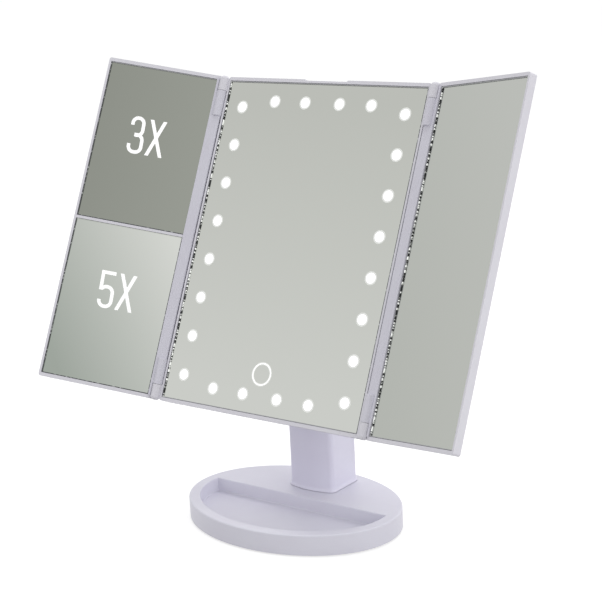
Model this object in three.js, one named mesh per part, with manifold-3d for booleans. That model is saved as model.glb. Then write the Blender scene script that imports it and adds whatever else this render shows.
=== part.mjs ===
// Three-panel lighted makeup mirror on a stem and an oval tray base.
// Millimetres, +Z up, front towards -Y. The origin is the centre of the oval base
// on the surface that the mirror stands on.
import * as THREE from 'three';
import { mergeVertices } from 'three/addons/utils/BufferGeometryUtils.js';
import Module from 'manifold-3d';

const wasm = await Module();
wasm.setup();

// Fits shared by all pieces
const gap = 0.3;                 // between pieces that lie against each other
const screwPlay = 0.35;          // round a screw's shank in its hole
const past = 2;                  // how far a cutter runs past the face it opens
const bite = 0.5;                // how far pieces of one body run into each other
const pilotCap = 1;              // solid end past a screw's pilot hole
const screwEndPlay = 1;          // from a screw's tip to the end of its hole
const sunk = 0.05;               // screw heads under the base, in from its face

// Sides of round bars and holes, from thin to thick
const few = 8;
const some = 12;
const many = 20;
const most = 32;
const ovalSegments = 30;

// Pose shown at rest
const tiltAtRest = 25;           // degrees that the head leans back from upright
const leftFoldAtRest = 26;       // degrees that the left wing is swung forward from flat
const rightFoldAtRest = 19.5;

// Base
const baseHalfLength = 80;
const baseHalfDepth = 60;
const baseHeight = 15;
const baseEdge = 1.2;            // rounding of the upper rim
const baseWall = 2.2;
const baseSkirtLift = 0.6;       // the skirt ends this far above the table
const trayRim = 7.8;             // flat rim between the tray and the outer edge
const trayToStem = 14;           // straight back wall of the tray to the stem's front
const trayDepth = 9.8;
const trayFloor = 1.6;
const padThickness = 0.9;
const padInset = 7;
const bottomThickness = 2;
const ballastThickness = 5;
const ballastMargin = 2.5;
const ballastToTray = 1.5;
const bossRadius = 3.2;
const bossInset = 14;            // screw bosses, in from the base's outer edge
const bossAngles = [24, 56];     // degrees round the oval from its long axis, on both sides

// Inlet and its board, at the back of the base
const inletWidth = 8.4;
const inletHeight = 3;
const inletLength = 6.2;
const inletZ = 8;                // centre height of the inlet
const inletShell = 0.7;
const inletFloor = 1;
const boardThickness = 1.2;
const powerBoardWidth = 26;
const powerBoardLength = 12;
const powerBoardInset = 2.6;     // board edge to the inner face of the back wall
const powerBoardPlay = 2;        // round the board in the ballast plate
const boardPostInset = 4;

// Stem
const stemWidth = 35;
const stemDepth = 30.5;
const stemSetback = 10.5;        // back of the stem, in from the back of the base
const stemBow = 4;               // how far the front face bows out past its corners
const stemTopZ = 166;
const stemWall = 2;
const stemCorner = 3;
const stemLeastCorner = 1;       // smallest corner of the stem's outline
const stemCornerPull = 0.2;      // how far the bow draws the front corners forward
const stemTopEdge = 0.9;
const footFlange = 1.2;          // thin flange where the stem meets the base
const stemFloor = 2.5;
const stemScrewX = 11;
const stemScrewInset = 10;       // stem screws, in from the stem's front
const stemBossHeight = 10;
const backThickness = 2.2;
const backScrewInset = 6;        // rear cover screws, from the ends of the stem's hollow
const backBossHalf = 4;
const backBossDepth = 7;

// Cells: two stacks of two, size AAA
const cellRadius = 5.25;
const cellLength = 44.5;
const cellNubRadius = 1.9;
const cellNubHeight = 0.8;
const cellPitch = 11;
const cellToDoor = 1.3;
const tubWall = 1.2;
const tubPlay = 0.95;            // between a cell and the tub's side wall
const tubBottomZ = 34.7;
const springHeight = 3;
const bridgeHeight = 2.6;
const contactThickness = 1;
const coilTopRadius = 2;
const coilBaseRadius = 3.6;
const bumpRadius = 2.6;
const doorThickness = 1.6;
const doorLedge = 1.3;           // ledge round the tub that the door rests on
const doorLatchLength = 5;       // door runs this far past the tub at each end

// Lead inside the stem
const leadRadius = 1.2;
const leadPlay = 1;
const leadX = -8;
const leadEntryInset = 4.5;      // where the lead comes up, in from the stem's back
const leadInset = 6.5;           // lead to the inner side of the stem's front
const leadBend = 5;              // half the height of a bend in the lead

// Tilt hinge
const pivotInset = 13.5;         // pivot, in from the stem's back
const neckHeight = 11.5;         // pivot above the stem's top
const barrelRadius = 9;
const barrelHalfLength = 9;
const shaftRadius = 3;
const shaftBore = 1.9;
const washerThickness = 1;
const washerRadius = 7;
const earThickness = 5;
const earCounterbore = 3.4;
const nutRadius = 5;
const nutThickness = 1.8;
const nutPlay = 0.4;
const nutSides = 6;
const capThickness = 1;
const capRadius = 8.6;
const capPlug = 0.7;
const wireBore = 0.9;
const wireEntry = 1.3;

// Head: centre panel
const panelHeight = 231;
const pivotUp = 115.5;           // pivot height above the panel's lower edge
const pivotBehind = 29;          // pivot behind the panel's front face
const panelThickness = 11;
const panelCorner = 1.6;
const frontEdge = 0.6;
const rearEdge = 1.2;
const bezelDepth = 6.4;
const lipTop = 2.4;              // frame above and below the mirrors
const lipSide = 2.05;            // frame beside the centre mirror
const mirrorRecess = 0.6;
const mirrorThickness = 2;
const ledgeWidth = 3.8;
const coverWall = 2;
const headBossInset = 7.5;
const headScrewPilot = 2.8;
const notchWidth = 35;
const notchDepth = 1.6;
const notchRound = 3;

// Lights and touch key
const windowRadius = 3.5;
const windowSides = 12;
const windowColumnX = 66.9;
const windowColumnLow = 20.1;    // lowest and highest lights, in from the panel's ends
const windowColumnHigh = 20.6;
const windowsPerColumn = 8;
const windowRowX = [14.1, 39.6]; // lights of the top and bottom rows
const windowRowLow = 14.3;
const windowRowHigh = 15.8;
const touchUp = 29.4;
const touchRadius = 8;
const touchStroke = 1.3;
const touchThickness = 0.4;
const diffuserThickness = 1.5;
const ledSize = 3.5;
const ledHeight = 0.8;
const ledBoardThickness = 1;
const ledBoardHalfWidth = 7.3;   // from the line of lights to the board's long edges
const touchBoardHalf = 7;
const postRadius = 2;

// Wings and their hinges
const hingeX = 86.5;             // hinge axis from the middle of the head
const hingeProud = 0.4;          // hinge axis ahead of the front faces
const knuckleRadius = 3.3;
const stripRadius = 2.7;
const earLength = 10;
const earRise = 0.8;             // rounded ends of the ears above and below the frame
const knuckleLength = 18;
const knuckleFloor = 1;          // solid end under each pin
const earCap = 1.5;              // solid end over each pin
const knuckleEdge = 0.8;
const pinRadius = 1.2;
const pinEndPlay = 0.5;
const wingReach = 85.75;
const wingThickness = 6;
const wingInnerEdge = 2.2;
const wingMirrorStart = 5.9;     // glass edge, from the hinge axis
const wingLip = 2.15;            // frame outside the wing mirrors
const wingRecess = 0.5;
const wingLedge = 4.4;
const wingGlass = 2;
const lensGlass = 1.8;
const lensSag3x = 1;             // how far the middle of each magnifying mirror is dished
const lensSag5x = 1.6;
const dividerWidth = 1.6;
const wingBackThickness = 1.4;
const wingBackInset = 2.05;

// Screws
const screwSmall = { shank: 0.9, head: 1.8, headHeight: 1.1 };
const screwMedium = { shank: 1.1, head: 2.2, headHeight: 1 };
const screwLarge = { shank: 1.4, head: 2.7, headHeight: 1.7 };

// Materials
function finish(color, roughness, metalness = 0) {
  return new THREE.MeshStandardMaterial({ color, roughness, metalness });
}
const whitePlastic = finish(0xd9d9e3, 0.42);
const glassMirror = finish(0xc3c7c2, 0.05, 1);
const milkyPlastic = finish(0xf6f7fa, 0.5);
const circuitBoard = finish(0xe9ece8, 0.6);
const greenBoard = finish(0x2f6b45, 0.6);
const steel = finish(0xb4b6ba, 0.35, 1);
const nickel = finish(0xc9c6bd, 0.3, 1);
const castIron = finish(0x6a6c70, 0.7, 1);
const rubber = finish(0x3c3d42, 0.9);
const cellSleeve = finish(0x2c2f36, 0.45);
const leadSheath = finish(0x26272b, 0.6);
const nylon = finish(0xeceae2, 0.55);
const lightInk = finish(0xffffff, 0.6);

// A closed three.js geometry as a solid that can be joined and cut
function solid(geometry) {
  const bare = geometry.clone();
  bare.deleteAttribute('normal');
  bare.deleteAttribute('uv');
  const merged = mergeVertices(bare, 1e-4);
  return new wasm.Manifold(new wasm.Mesh({
    numProp: 3,
    vertProperties: new Float32Array(merged.attributes.position.array),
    triVerts: Uint32Array.from(merged.index.array),
  }));
}

function geometryOf(body) {
  const mesh = body.getMesh();
  const geometry = new THREE.BufferGeometry();
  geometry.setAttribute('position', new THREE.BufferAttribute(mesh.vertProperties, 3));
  geometry.setIndex(new THREE.BufferAttribute(mesh.triVerts, 1));
  geometry.computeVertexNormals();
  return geometry;
}

const symmetric = (half) => [-half, half];
const inset = ([low, high], by) => [low + by, high - by];
const mirrored = ([low, high], sign) => (sign > 0 ? [low, high] : [-high, -low]);
const join = (...bodies) => bodies.reduce((sum, body) => sum.add(body));
const cut = (body, ...tools) => tools.reduce((rest, tool) => rest.subtract(tool), body);

function block([x0, x1], [y0, y1], [z0, z1]) {
  const box = new THREE.BoxGeometry(x1 - x0, y1 - y0, z1 - z0);
  box.translate((x0 + x1) / 2, (y0 + y1) / 2, (z0 + z1) / 2);
  return solid(box);
}

// A round bar along one axis, from one coordinate to another; centre holds the other two
function bar(axis, radius, [from, to], centre, sides = some) {
  const round = new THREE.CylinderGeometry(radius, radius, to - from, sides);
  round.translate(0, (from + to) / 2, 0);
  if (axis === 'x') {
    round.rotateZ(-Math.PI / 2);
    round.translate(0, centre[0], centre[1]);
  } else if (axis === 'y') {
    round.translate(centre[0], 0, centre[1]);
  } else {
    round.rotateX(Math.PI / 2);
    round.translate(centre[0], centre[1], 0);
  }
  return solid(round);
}

function extruded(shape, length, edge, curveSegments) {
  return new THREE.ExtrudeGeometry(shape, {
    depth: length - 2 * edge,
    curveSegments,
    bevelEnabled: edge > 0,
    bevelThickness: edge,
    bevelSize: edge,
    bevelOffset: -edge,
    bevelSegments: 2,
  }).translate(0, 0, edge);
}

// An outline in plan, drawn up from z0 to z1
function slab(shape, [z0, z1], edge = 0, curveSegments = some) {
  return solid(extruded(shape, z1 - z0, edge, curveSegments).translate(0, 0, z0));
}

// An outline seen from the front (x across, z up), drawn from y0 back to y1
function panel(shape, [y0, y1], edge = 0, curveSegments = 4) {
  const drawn = extruded(shape, y1 - y0, edge, curveSegments).rotateX(Math.PI / 2);
  return solid(drawn.translate(0, y1, 0));
}

function rectangle([x0, x1], [y0, y1], radius = 0) {
  const shape = new THREE.Shape();
  if (radius === 0) {
    shape.setFromPoints([[x0, y0], [x1, y0], [x1, y1], [x0, y1]].map(
      ([x, y]) => new THREE.Vector2(x, y)));
    return shape;
  }
  shape.moveTo(x0 + radius, y0);
  shape.lineTo(x1 - radius, y0);
  shape.absarc(x1 - radius, y0 + radius, radius, -Math.PI / 2, 0);
  shape.lineTo(x1, y1 - radius);
  shape.absarc(x1 - radius, y1 - radius, radius, 0, Math.PI / 2);
  shape.lineTo(x0 + radius, y1);
  shape.absarc(x0 + radius, y1 - radius, radius, Math.PI / 2, Math.PI);
  shape.lineTo(x0, y0 + radius);
  shape.absarc(x0 + radius, y0 + radius, radius, Math.PI, 1.5 * Math.PI);
  return shape;
}

function oval(inset, [z0, z1], edge = 0) {
  const shape = new THREE.Shape();
  shape.absellipse(0, 0, baseHalfLength - inset, baseHalfDepth - inset, 0, 2 * Math.PI);
  return slab(shape, [z0, z1], edge, ovalSegments);
}

// A screw along an axis: the head starts at 'top' and the shank runs on by 'length'
function screw(kind, axis, top, direction, length, centre) {
  const ordered = (a, b) => [Math.min(a, b), Math.max(a, b)];
  const neck = top + direction * kind.headHeight;
  const head = bar(axis, kind.head, ordered(top, neck), centre);
  const overlap = neck - direction * bite;
  const shank = bar(axis, kind.shank, ordered(overlap, neck + direction * length), centre, few);
  return join(head, shank);
}

// Places that follow from the sizes
const stemBackY = baseHalfDepth - stemSetback;
const stemFrontY = stemBackY - stemDepth;
const stemScrewY = stemFrontY + stemScrewInset;
const trayBackY = stemFrontY - trayToStem;
const leadEntryY = stemBackY - leadEntryInset;
const pivotY = stemBackY - pivotInset;
const pivotZ = stemTopZ + neckHeight;
const baseBosses = bossAngles.map(THREE.MathUtils.degToRad).flatMap((angle) => [1, -1].map(
  (side) => [side * (baseHalfLength - bossInset) * Math.cos(angle),
    (baseHalfDepth - bossInset) * Math.sin(angle)]));

const object = new THREE.Group();
const head = new THREE.Group();
head.position.set(0, pivotY, pivotZ);
head.rotation.x = -THREE.MathUtils.degToRad(tiltAtRest);
object.add(head);

function place(name, body, material, parent = object) {
  const mesh = new THREE.Mesh(geometryOf(body), material.clone());
  mesh.name = name;
  parent.add(mesh);
  return mesh;
}

// Heights in the base, from the table up
const bottomZ = padThickness + gap;
const bottomTopZ = bottomZ + bottomThickness;
const baseUnderTopZ = baseHeight - baseWall;
const trayFloorZ = baseHeight - trayDepth;
const stemSeatZ = baseHeight + gap;
const stemHollowZ = stemSeatZ + stemFloor;
const stemHollowTopZ = stemTopZ - stemWall;
const cellY = stemBackY - doorThickness - gap - cellToDoor - cellRadius;

function stemOutline(inset) {
  const half = stemWidth / 2 - inset;
  const front = stemFrontY + inset;
  const corner = stemFrontY + stemBow + inset;
  const back = stemBackY - inset;
  const round = Math.max(stemCorner - inset, stemLeastCorner);
  const pulled = corner - stemCornerPull;
  const chamfer = stemLeastCorner;
  const bowEnd = front + (corner - front) * ((half - round) / half) ** 2;
  const shape = new THREE.Shape();
  shape.moveTo(-half + chamfer, back);
  shape.lineTo(half - chamfer, back);
  shape.lineTo(half, back - chamfer);
  shape.lineTo(half, corner + round);
  shape.quadraticCurveTo(half, pulled, half - round, bowEnd);
  shape.quadraticCurveTo(0, 2 * front - bowEnd, -half + round, bowEnd);
  shape.quadraticCurveTo(-half, pulled, -half, corner + round);
  shape.lineTo(-half, back - chamfer);
  return shape;
}

function leadRoute() {
  const low = stemHollowZ;
  const high = stemHollowTopZ;
  const frontY = stemFrontY + stemWall + leadInset;
  return new THREE.CatmullRomCurve3([
    [leadX, leadEntryY, inletZ - inletHeight / 2],
    [leadX, leadEntryY, low - leadBend],
    [leadX, leadEntryY - leadBend / 3, low + leadBend],
    [leadX, frontY + leadBend, low + 2.4 * leadBend],
    [leadX, frontY, low + 4.4 * leadBend],
    [leadX, frontY, (low + high) / 2],
    [leadX, frontY, high - 5 * leadBend],
    [leadX / 2, (frontY + pivotY) / 2, high - 2.2 * leadBend],
    [0, pivotY, high - leadBend / 4],
    [0, pivotY, pivotZ - shaftRadius - leadBend],
  ].map(([x, y, height]) => new THREE.Vector3(x, y, height)), false, 'catmullrom', 0.4);
}

function makeBase() {
  const across = symmetric(baseHalfLength + past);
  const behindTray = (y) => block(across, [y, baseHalfDepth + past], [-past, baseHeight + past]);

  const skin = cut(
    oval(0, [baseSkirtLift - baseEdge - past, baseHeight], baseEdge),
    block(across, symmetric(baseHalfDepth + past), [-2 * past - baseEdge, baseSkirtLift]),
    oval(baseWall, [-past, baseUnderTopZ]),
  );
  const trayShell = cut(oval(trayRim - baseWall, [trayFloorZ - trayFloor, baseHeight - baseEdge]),
    behindTray(trayBackY + baseWall));
  const trayHollow = cut(oval(trayRim, [trayFloorZ, baseHeight + past]), behindTray(trayBackY));
  const bossZ = [bottomTopZ + gap, baseUnderTopZ + baseWall / 2];
  const innerBack = baseHalfDepth - baseWall;
  const inletX = symmetric(inletWidth / 2);
  const inletY = [baseHalfDepth - gap * 2 - inletLength, baseHalfDepth - gap * 2];
  const inletSpan = [inletZ - inletHeight / 2, inletZ + inletHeight / 2];
  const shell = cut(
    join(skin, trayShell, ...baseBosses.map((at) => bar('z', bossRadius, bossZ, at))),
    trayHollow,
    ...baseBosses.map((at) => bar('z', screwMedium.shank + screwPlay,
      [0, baseUnderTopZ - pilotCap], at)),
    block(inset(inletX, -gap), [innerBack - past, baseHalfDepth + past], inset(inletSpan, -gap)),
    ...symmetric(stemScrewX).map((x) => bar('z', screwLarge.shank + screwPlay,
      [baseUnderTopZ - past, baseHeight + past], [x, stemScrewY])),
    bar('z', leadRadius + leadPlay, [baseUnderTopZ - past, baseHeight + past],
      [leadX, leadEntryY]),
  );
  place('base_shell', shell, whitePlastic);

  const boardY = [innerBack - powerBoardInset - powerBoardLength, innerBack - powerBoardInset];
  const boardTop = inletSpan[0] - gap;
  const boardX = powerBoardWidth / 2;
  const boardPosts = symmetric(boardX - boardPostInset).map((x) => bar('z', postRadius,
    [bottomTopZ - bite, boardTop - boardThickness - gap], [x, (boardY[0] + boardY[1]) / 2]));
  const headHole = screwMedium.head + screwPlay;
  const bottom = cut(
    join(oval(baseWall + gap, [bottomZ, bottomTopZ]), ...boardPosts),
    ...baseBosses.map((at) => bar('z', screwMedium.shank + screwPlay, [0, bottomTopZ + past], at)),
    ...baseBosses.map((at) => bar('z', headHole, [0, bottomZ + screwMedium.headHeight + gap],
      at)),
  );
  place('base_bottom', bottom, whitePlastic);
  place('anti_slip_pad', oval(padInset, [0, padThickness]), rubber);

  const notchX = boardX + powerBoardPlay;
  const ballastZ = [bottomTopZ + gap, bottomTopZ + gap + ballastThickness];
  const frontOfBallast = trayBackY + baseWall + ballastToTray;
  const ballast = cut(
    oval(baseWall + ballastMargin, ballastZ),
    block(across, [-baseHalfDepth - past, frontOfBallast], [-past, baseHeight]),
    block(symmetric(notchX), [boardY[0] - powerBoardPlay, baseHalfDepth], [-past, baseHeight]),
    ...baseBosses.map((at) => bar('z', bossRadius + 2 * gap, [0, baseHeight], at)),
  );
  place('ballast_plate', ballast, castIron);

  const socket = cut(
    block(inletX, inletY, inletSpan),
    block(inset(inletX, inletShell), [inletY[0] + inletFloor, inletY[1] + past],
      inset(inletSpan, inletShell)),
  );
  place('power_inlet', socket, nickel);
  place('power_board', block(symmetric(boardX), boardY, [boardTop - boardThickness, boardTop]),
    greenBoard);

  baseBosses.forEach((at, index) => {
    const shankLength = baseUnderTopZ - pilotCap - screwEndPlay - bottomTopZ;
    place(`base_screw_${index + 1}`,
      screw(screwMedium, 'z', bottomZ + sunk, 1, shankLength, at), steel);
  });
  symmetric(stemScrewX).forEach((x, index) => {
    const neck = baseUnderTopZ - gap;
    const tip = stemHollowZ + stemBossHeight - pilotCap - screwEndPlay;
    place(`stem_screw_${index + 1}`, screw(screwLarge, 'z', neck - screwLarge.headHeight, 1,
      tip - neck, [x, stemScrewY]), steel);
  });
}

// The cells' tub in the stem's rear cover, from the cells outward
const tubHalf = cellPitch / 2 + cellRadius + tubPlay;
const tubFrontY = cellY - cellRadius - gap;
const tubTopZ = tubBottomZ + gap + springHeight + gap + 2 * cellLength + gap + gap
  + bridgeHeight + gap;
const tubZ = [tubBottomZ, tubTopZ];
const doorHalf = tubHalf + doorLedge - gap;
const doorZ = [tubBottomZ - doorLatchLength + gap, tubTopZ + doorLatchLength - gap];
const backHalf = stemWidth / 2 - stemWall - gap;
const backScrewZ = [stemHollowZ + backScrewInset, stemHollowTopZ - backScrewInset];
const backFaceY = stemBackY - backThickness;

function makeStem() {
  const half = stemWidth / 2;
  const outside = cut(
    slab(stemOutline(0), [stemSeatZ - past - stemTopEdge, stemTopZ], stemTopEdge, few),
    block(symmetric(half + past), [0, stemBackY + past], [stemSeatZ - 3 * past, stemSeatZ]),
  );
  const neck = join(
    block(symmetric(barrelHalfLength), [pivotY - barrelRadius, pivotY + barrelRadius],
      [stemTopZ - stemWall / 2, pivotZ]),
    bar('x', barrelRadius, symmetric(barrelHalfLength), [pivotY, pivotZ], most),
  );
  const flange = slab(stemOutline(-footFlange), [stemSeatZ, stemSeatZ + footFlange], 0, few);
  const hollow = join(
    slab(stemOutline(stemWall), [stemHollowZ, stemHollowTopZ], 0, few),
    block(symmetric(half - stemWall), [cellY, stemBackY + footFlange + past], [stemHollowZ, stemHollowTopZ]),
  );
  const stemBossZ = [stemHollowZ - bite, stemHollowZ + stemBossHeight];
  const backBossY = [backFaceY - gap - backBossDepth, backFaceY - gap];
  const bosses = join(
    ...symmetric(stemScrewX).map((x) => bar('z', bossRadius, stemBossZ, [x, stemScrewY])),
    block(symmetric(backBossHalf), backBossY,
      [stemHollowZ - bite, backScrewZ[0] + backBossHalf]),
    block(symmetric(backBossHalf), backBossY,
      [backScrewZ[1] - backBossHalf, stemHollowTopZ + bite]),
  );
  const shell = cut(
    join(cut(join(outside, neck, flange), hollow), bosses),
    bar('x', shaftRadius + gap, symmetric(barrelHalfLength + past), [pivotY, pivotZ], many),
    bar('z', leadRadius + leadPlay, [stemHollowTopZ - past, pivotZ], [0, pivotY]),
    bar('z', leadRadius + leadPlay, [stemSeatZ - past, stemHollowZ + past],
      [leadX, leadEntryY]),
    ...symmetric(stemScrewX).map((x) => bar('z', screwLarge.shank + screwPlay,
      [stemSeatZ - past, stemBossZ[1] - pilotCap], [x, stemScrewY])),
    ...backScrewZ.map((z) => bar('y', screwMedium.shank + screwPlay,
      [backBossY[0] + pilotCap, backBossY[1] + past], [0, z])),
  );
  place('stem_shell', shell, whitePlastic);

  const seatHalf = Math.min(tubHalf + doorLedge + tubWall, backHalf);
  const doorSeatY = stemBackY - doorThickness - gap;
  const rebateZ = inset(doorZ, -gap);
  const cover = cut(
    join(
      block(symmetric(backHalf), [backFaceY, stemBackY],
        [stemHollowZ + gap, stemHollowTopZ - gap]),
      block(symmetric(tubHalf + tubWall), [tubFrontY - tubWall, backFaceY + bite],
        inset(tubZ, -tubWall)),
      block(symmetric(seatHalf), [doorSeatY - tubWall, backFaceY + bite],
        inset(rebateZ, -tubWall)),
    ),
    block(symmetric(tubHalf), [tubFrontY, stemBackY + past], tubZ),
    block(symmetric(doorHalf + gap), [doorSeatY, stemBackY + past], rebateZ),
    ...backScrewZ.map((z) => bar('y', screwMedium.shank + screwPlay,
      [backFaceY - past, stemBackY + past], [0, z])),
    ...backScrewZ.map((z) => bar('y', screwMedium.head + screwPlay,
      [stemBackY - screwMedium.headHeight - gap, stemBackY + past], [0, z])),
  );
  place('stem_rear_cover', cover, whitePlastic);
  place('battery_door', block(symmetric(doorHalf), [stemBackY - doorThickness, stemBackY],
    doorZ), whitePlastic);

  backScrewZ.forEach((z, index) => {
    place(`rear_cover_screw_${index + 1}`,
      screw(screwMedium, 'y', stemBackY - gap, -1, backBossDepth - screwEndPlay, [0, z]),
      steel);
  });
}

function cellSolid(x, z, upright) {
  const nubAt = upright ? z + cellLength - cellNubHeight : z;
  const bodyAt = upright ? z : z + cellNubHeight;
  return join(
    bar('z', cellRadius, [bodyAt, bodyAt + cellLength - cellNubHeight], [x, cellY], many),
    bar('z', cellNubRadius, upright ? [nubAt - bite, nubAt + cellNubHeight]
      : [nubAt, nubAt + cellNubHeight + bite], [x, cellY]),
  );
}

function makeCells() {
  const lowZ = tubBottomZ + gap + springHeight + gap;
  symmetric(cellPitch / 2).forEach((x, column) => {
    [0, 1].forEach((row) => {
      const z = lowZ + row * (cellLength + gap);
      place(`cell_${2 * column + row + 1}`, cellSolid(x, z, column === 0), cellSleeve);
    });
    // A flat plate with a tapered coil that presses on the lower cell
    const plateZ = tubBottomZ + gap;
    const coilHeight = springHeight - contactThickness + bite;
    const coil = new THREE.CylinderGeometry(coilTopRadius, coilBaseRadius, coilHeight, some);
    coil.rotateX(Math.PI / 2);
    coil.translate(x, cellY, plateZ + springHeight - coilHeight / 2);
    const plate = block([x - cellRadius + gap, x + cellRadius - gap],
      [tubFrontY + gap, cellY + cellRadius], [plateZ, plateZ + contactThickness]);
    place(column === 0 ? 'contact_spring_left' : 'contact_spring_right',
      join(plate, solid(coil)), nickel);
  });
  const bridgeZ = tubTopZ - gap;
  const bumps = symmetric(cellPitch / 2).map((x) => bar('z', bumpRadius,
    [bridgeZ - bridgeHeight, bridgeZ - contactThickness / 2], [x, cellY]));
  place('contact_bridge', join(block(symmetric(tubHalf - tubPlay),
    [tubFrontY + gap, cellY + cellRadius], [bridgeZ - contactThickness, bridgeZ]), ...bumps),
  nickel);

  const section = new THREE.Shape();
  section.absellipse(0, 0, leadRadius, leadRadius, 0, 2 * Math.PI);
  const lead = new THREE.ExtrudeGeometry(section, {
    curveSegments: 4, steps: 30, bevelEnabled: false, extrudePath: leadRoute(),
  });
  place('stem_lead', solid(lead), leadSheath);
}

// Places across the tilt hinge, outward from the stem's barrel
const washerX = [barrelHalfLength + gap, barrelHalfLength + gap + washerThickness];
const earX = [washerX[1] + gap, washerX[1] + gap + earThickness];
const seatX = earX[1] - earCounterbore;
const flangeX = [seatX + gap, seatX + gap + nutThickness];

function makeTiltHinge() {
  const tube = bar('x', shaftRadius, symmetric(flangeX[1]), [0, 0], many);
  const flange = bar('x', nutRadius, mirrored(flangeX, -1), [0, 0], many);
  const bore = bar('x', shaftBore, symmetric(flangeX[1] + past), [0, 0]);
  const entry = bar('z', wireEntry, [-shaftRadius - past, 0], [0, 0]);
  const shaftHole = bar('x', shaftRadius + gap, symmetric(flangeX[1] + past), [0, 0], many);
  place('tilt_shaft', cut(join(tube, flange), bore, entry), steel, head);
  place('tilt_nut', cut(bar('x', nutRadius, flangeX, [0, 0], nutSides), shaftHole), steel, head);
  [['left', -1], ['right', 1]].forEach(([side, sign]) => {
    place(`friction_washer_${side}`,
      cut(bar('x', washerRadius, mirrored(washerX, sign), [0, 0], many), shaftHole), nylon, head);
    const capX = [earX[1] + gap, earX[1] + gap + capThickness];
    const plugX = [earX[1] - capPlug, capX[0] + capThickness / 2];
    place(`hinge_cap_${side}`, join(bar('x', capRadius, mirrored(capX, sign), [0, 0], most),
      bar('x', nutRadius, mirrored(plugX, sign), [0, 0], many)), whitePlastic, head);
  });
}

// The centre panel in the head's own frame: its origin is the tilt pivot
const panelZ = [-pivotUp, panelHeight - pivotUp];
const frontY = -pivotBehind;
const depthAt = (depth) => frontY + depth;
const centreHalf = hingeX - knuckleRadius - gap;
const pocketHalf = centreHalf - lipSide;
const pocketZ = [panelZ[0] + lipTop, panelZ[1] - lipTop];
const mirrorBack = mirrorRecess + mirrorThickness;
const ledgeZ = inset(pocketZ, ledgeWidth);
const ledgeHalf = pocketHalf - ledgeWidth;
const headBosses = [-1, 1].flatMap((side) => inset(panelZ, headBossInset).map(
  (z) => [side * (centreHalf - headBossInset), z]));
const touchZ = panelZ[0] + touchUp;
const windowRows = [panelZ[0] + windowRowLow, panelZ[1] - windowRowHigh];
const panelMiddle = (panelZ[0] + panelZ[1]) / 2;

function lightPositions() {
  const spots = [];
  for (let index = 0; index < windowsPerColumn; index += 1) {
    const share = index / (windowsPerColumn - 1);
    const z = THREE.MathUtils.lerp(panelZ[0] + windowColumnLow, panelZ[1] - windowColumnHigh,
      share);
    spots.push([windowColumnX, z], [-windowColumnX, z]);
  }
  for (const x of windowRowX) {
    for (const z of windowRows) {
      spots.push([x, z], [-x, z]);
    }
  }
  return spots;
}

// One end of a wing hinge: a round knuckle with softened ends, at x and from z0 to z1
function knuckle(x, y, radius, [z0, z1]) {
  const circle = new THREE.Shape();
  circle.absellipse(x, y, radius, radius, 0, 2 * Math.PI);
  return slab(circle, [z0, z1], knuckleEdge, few);
}

// A stretch of height given by its distances in from the panel's top (end 1) or bottom (-1)
const fromEnd = (end, [near, far]) => (end > 0 ? [panelZ[1] - far, panelZ[1] - near]
  : [panelZ[0] + near, panelZ[0] + far]);
const knuckleSpan = [earLength + gap, earLength + gap + knuckleLength];
const stripFrom = knuckleSpan[1] - knuckleFloor;

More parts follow.
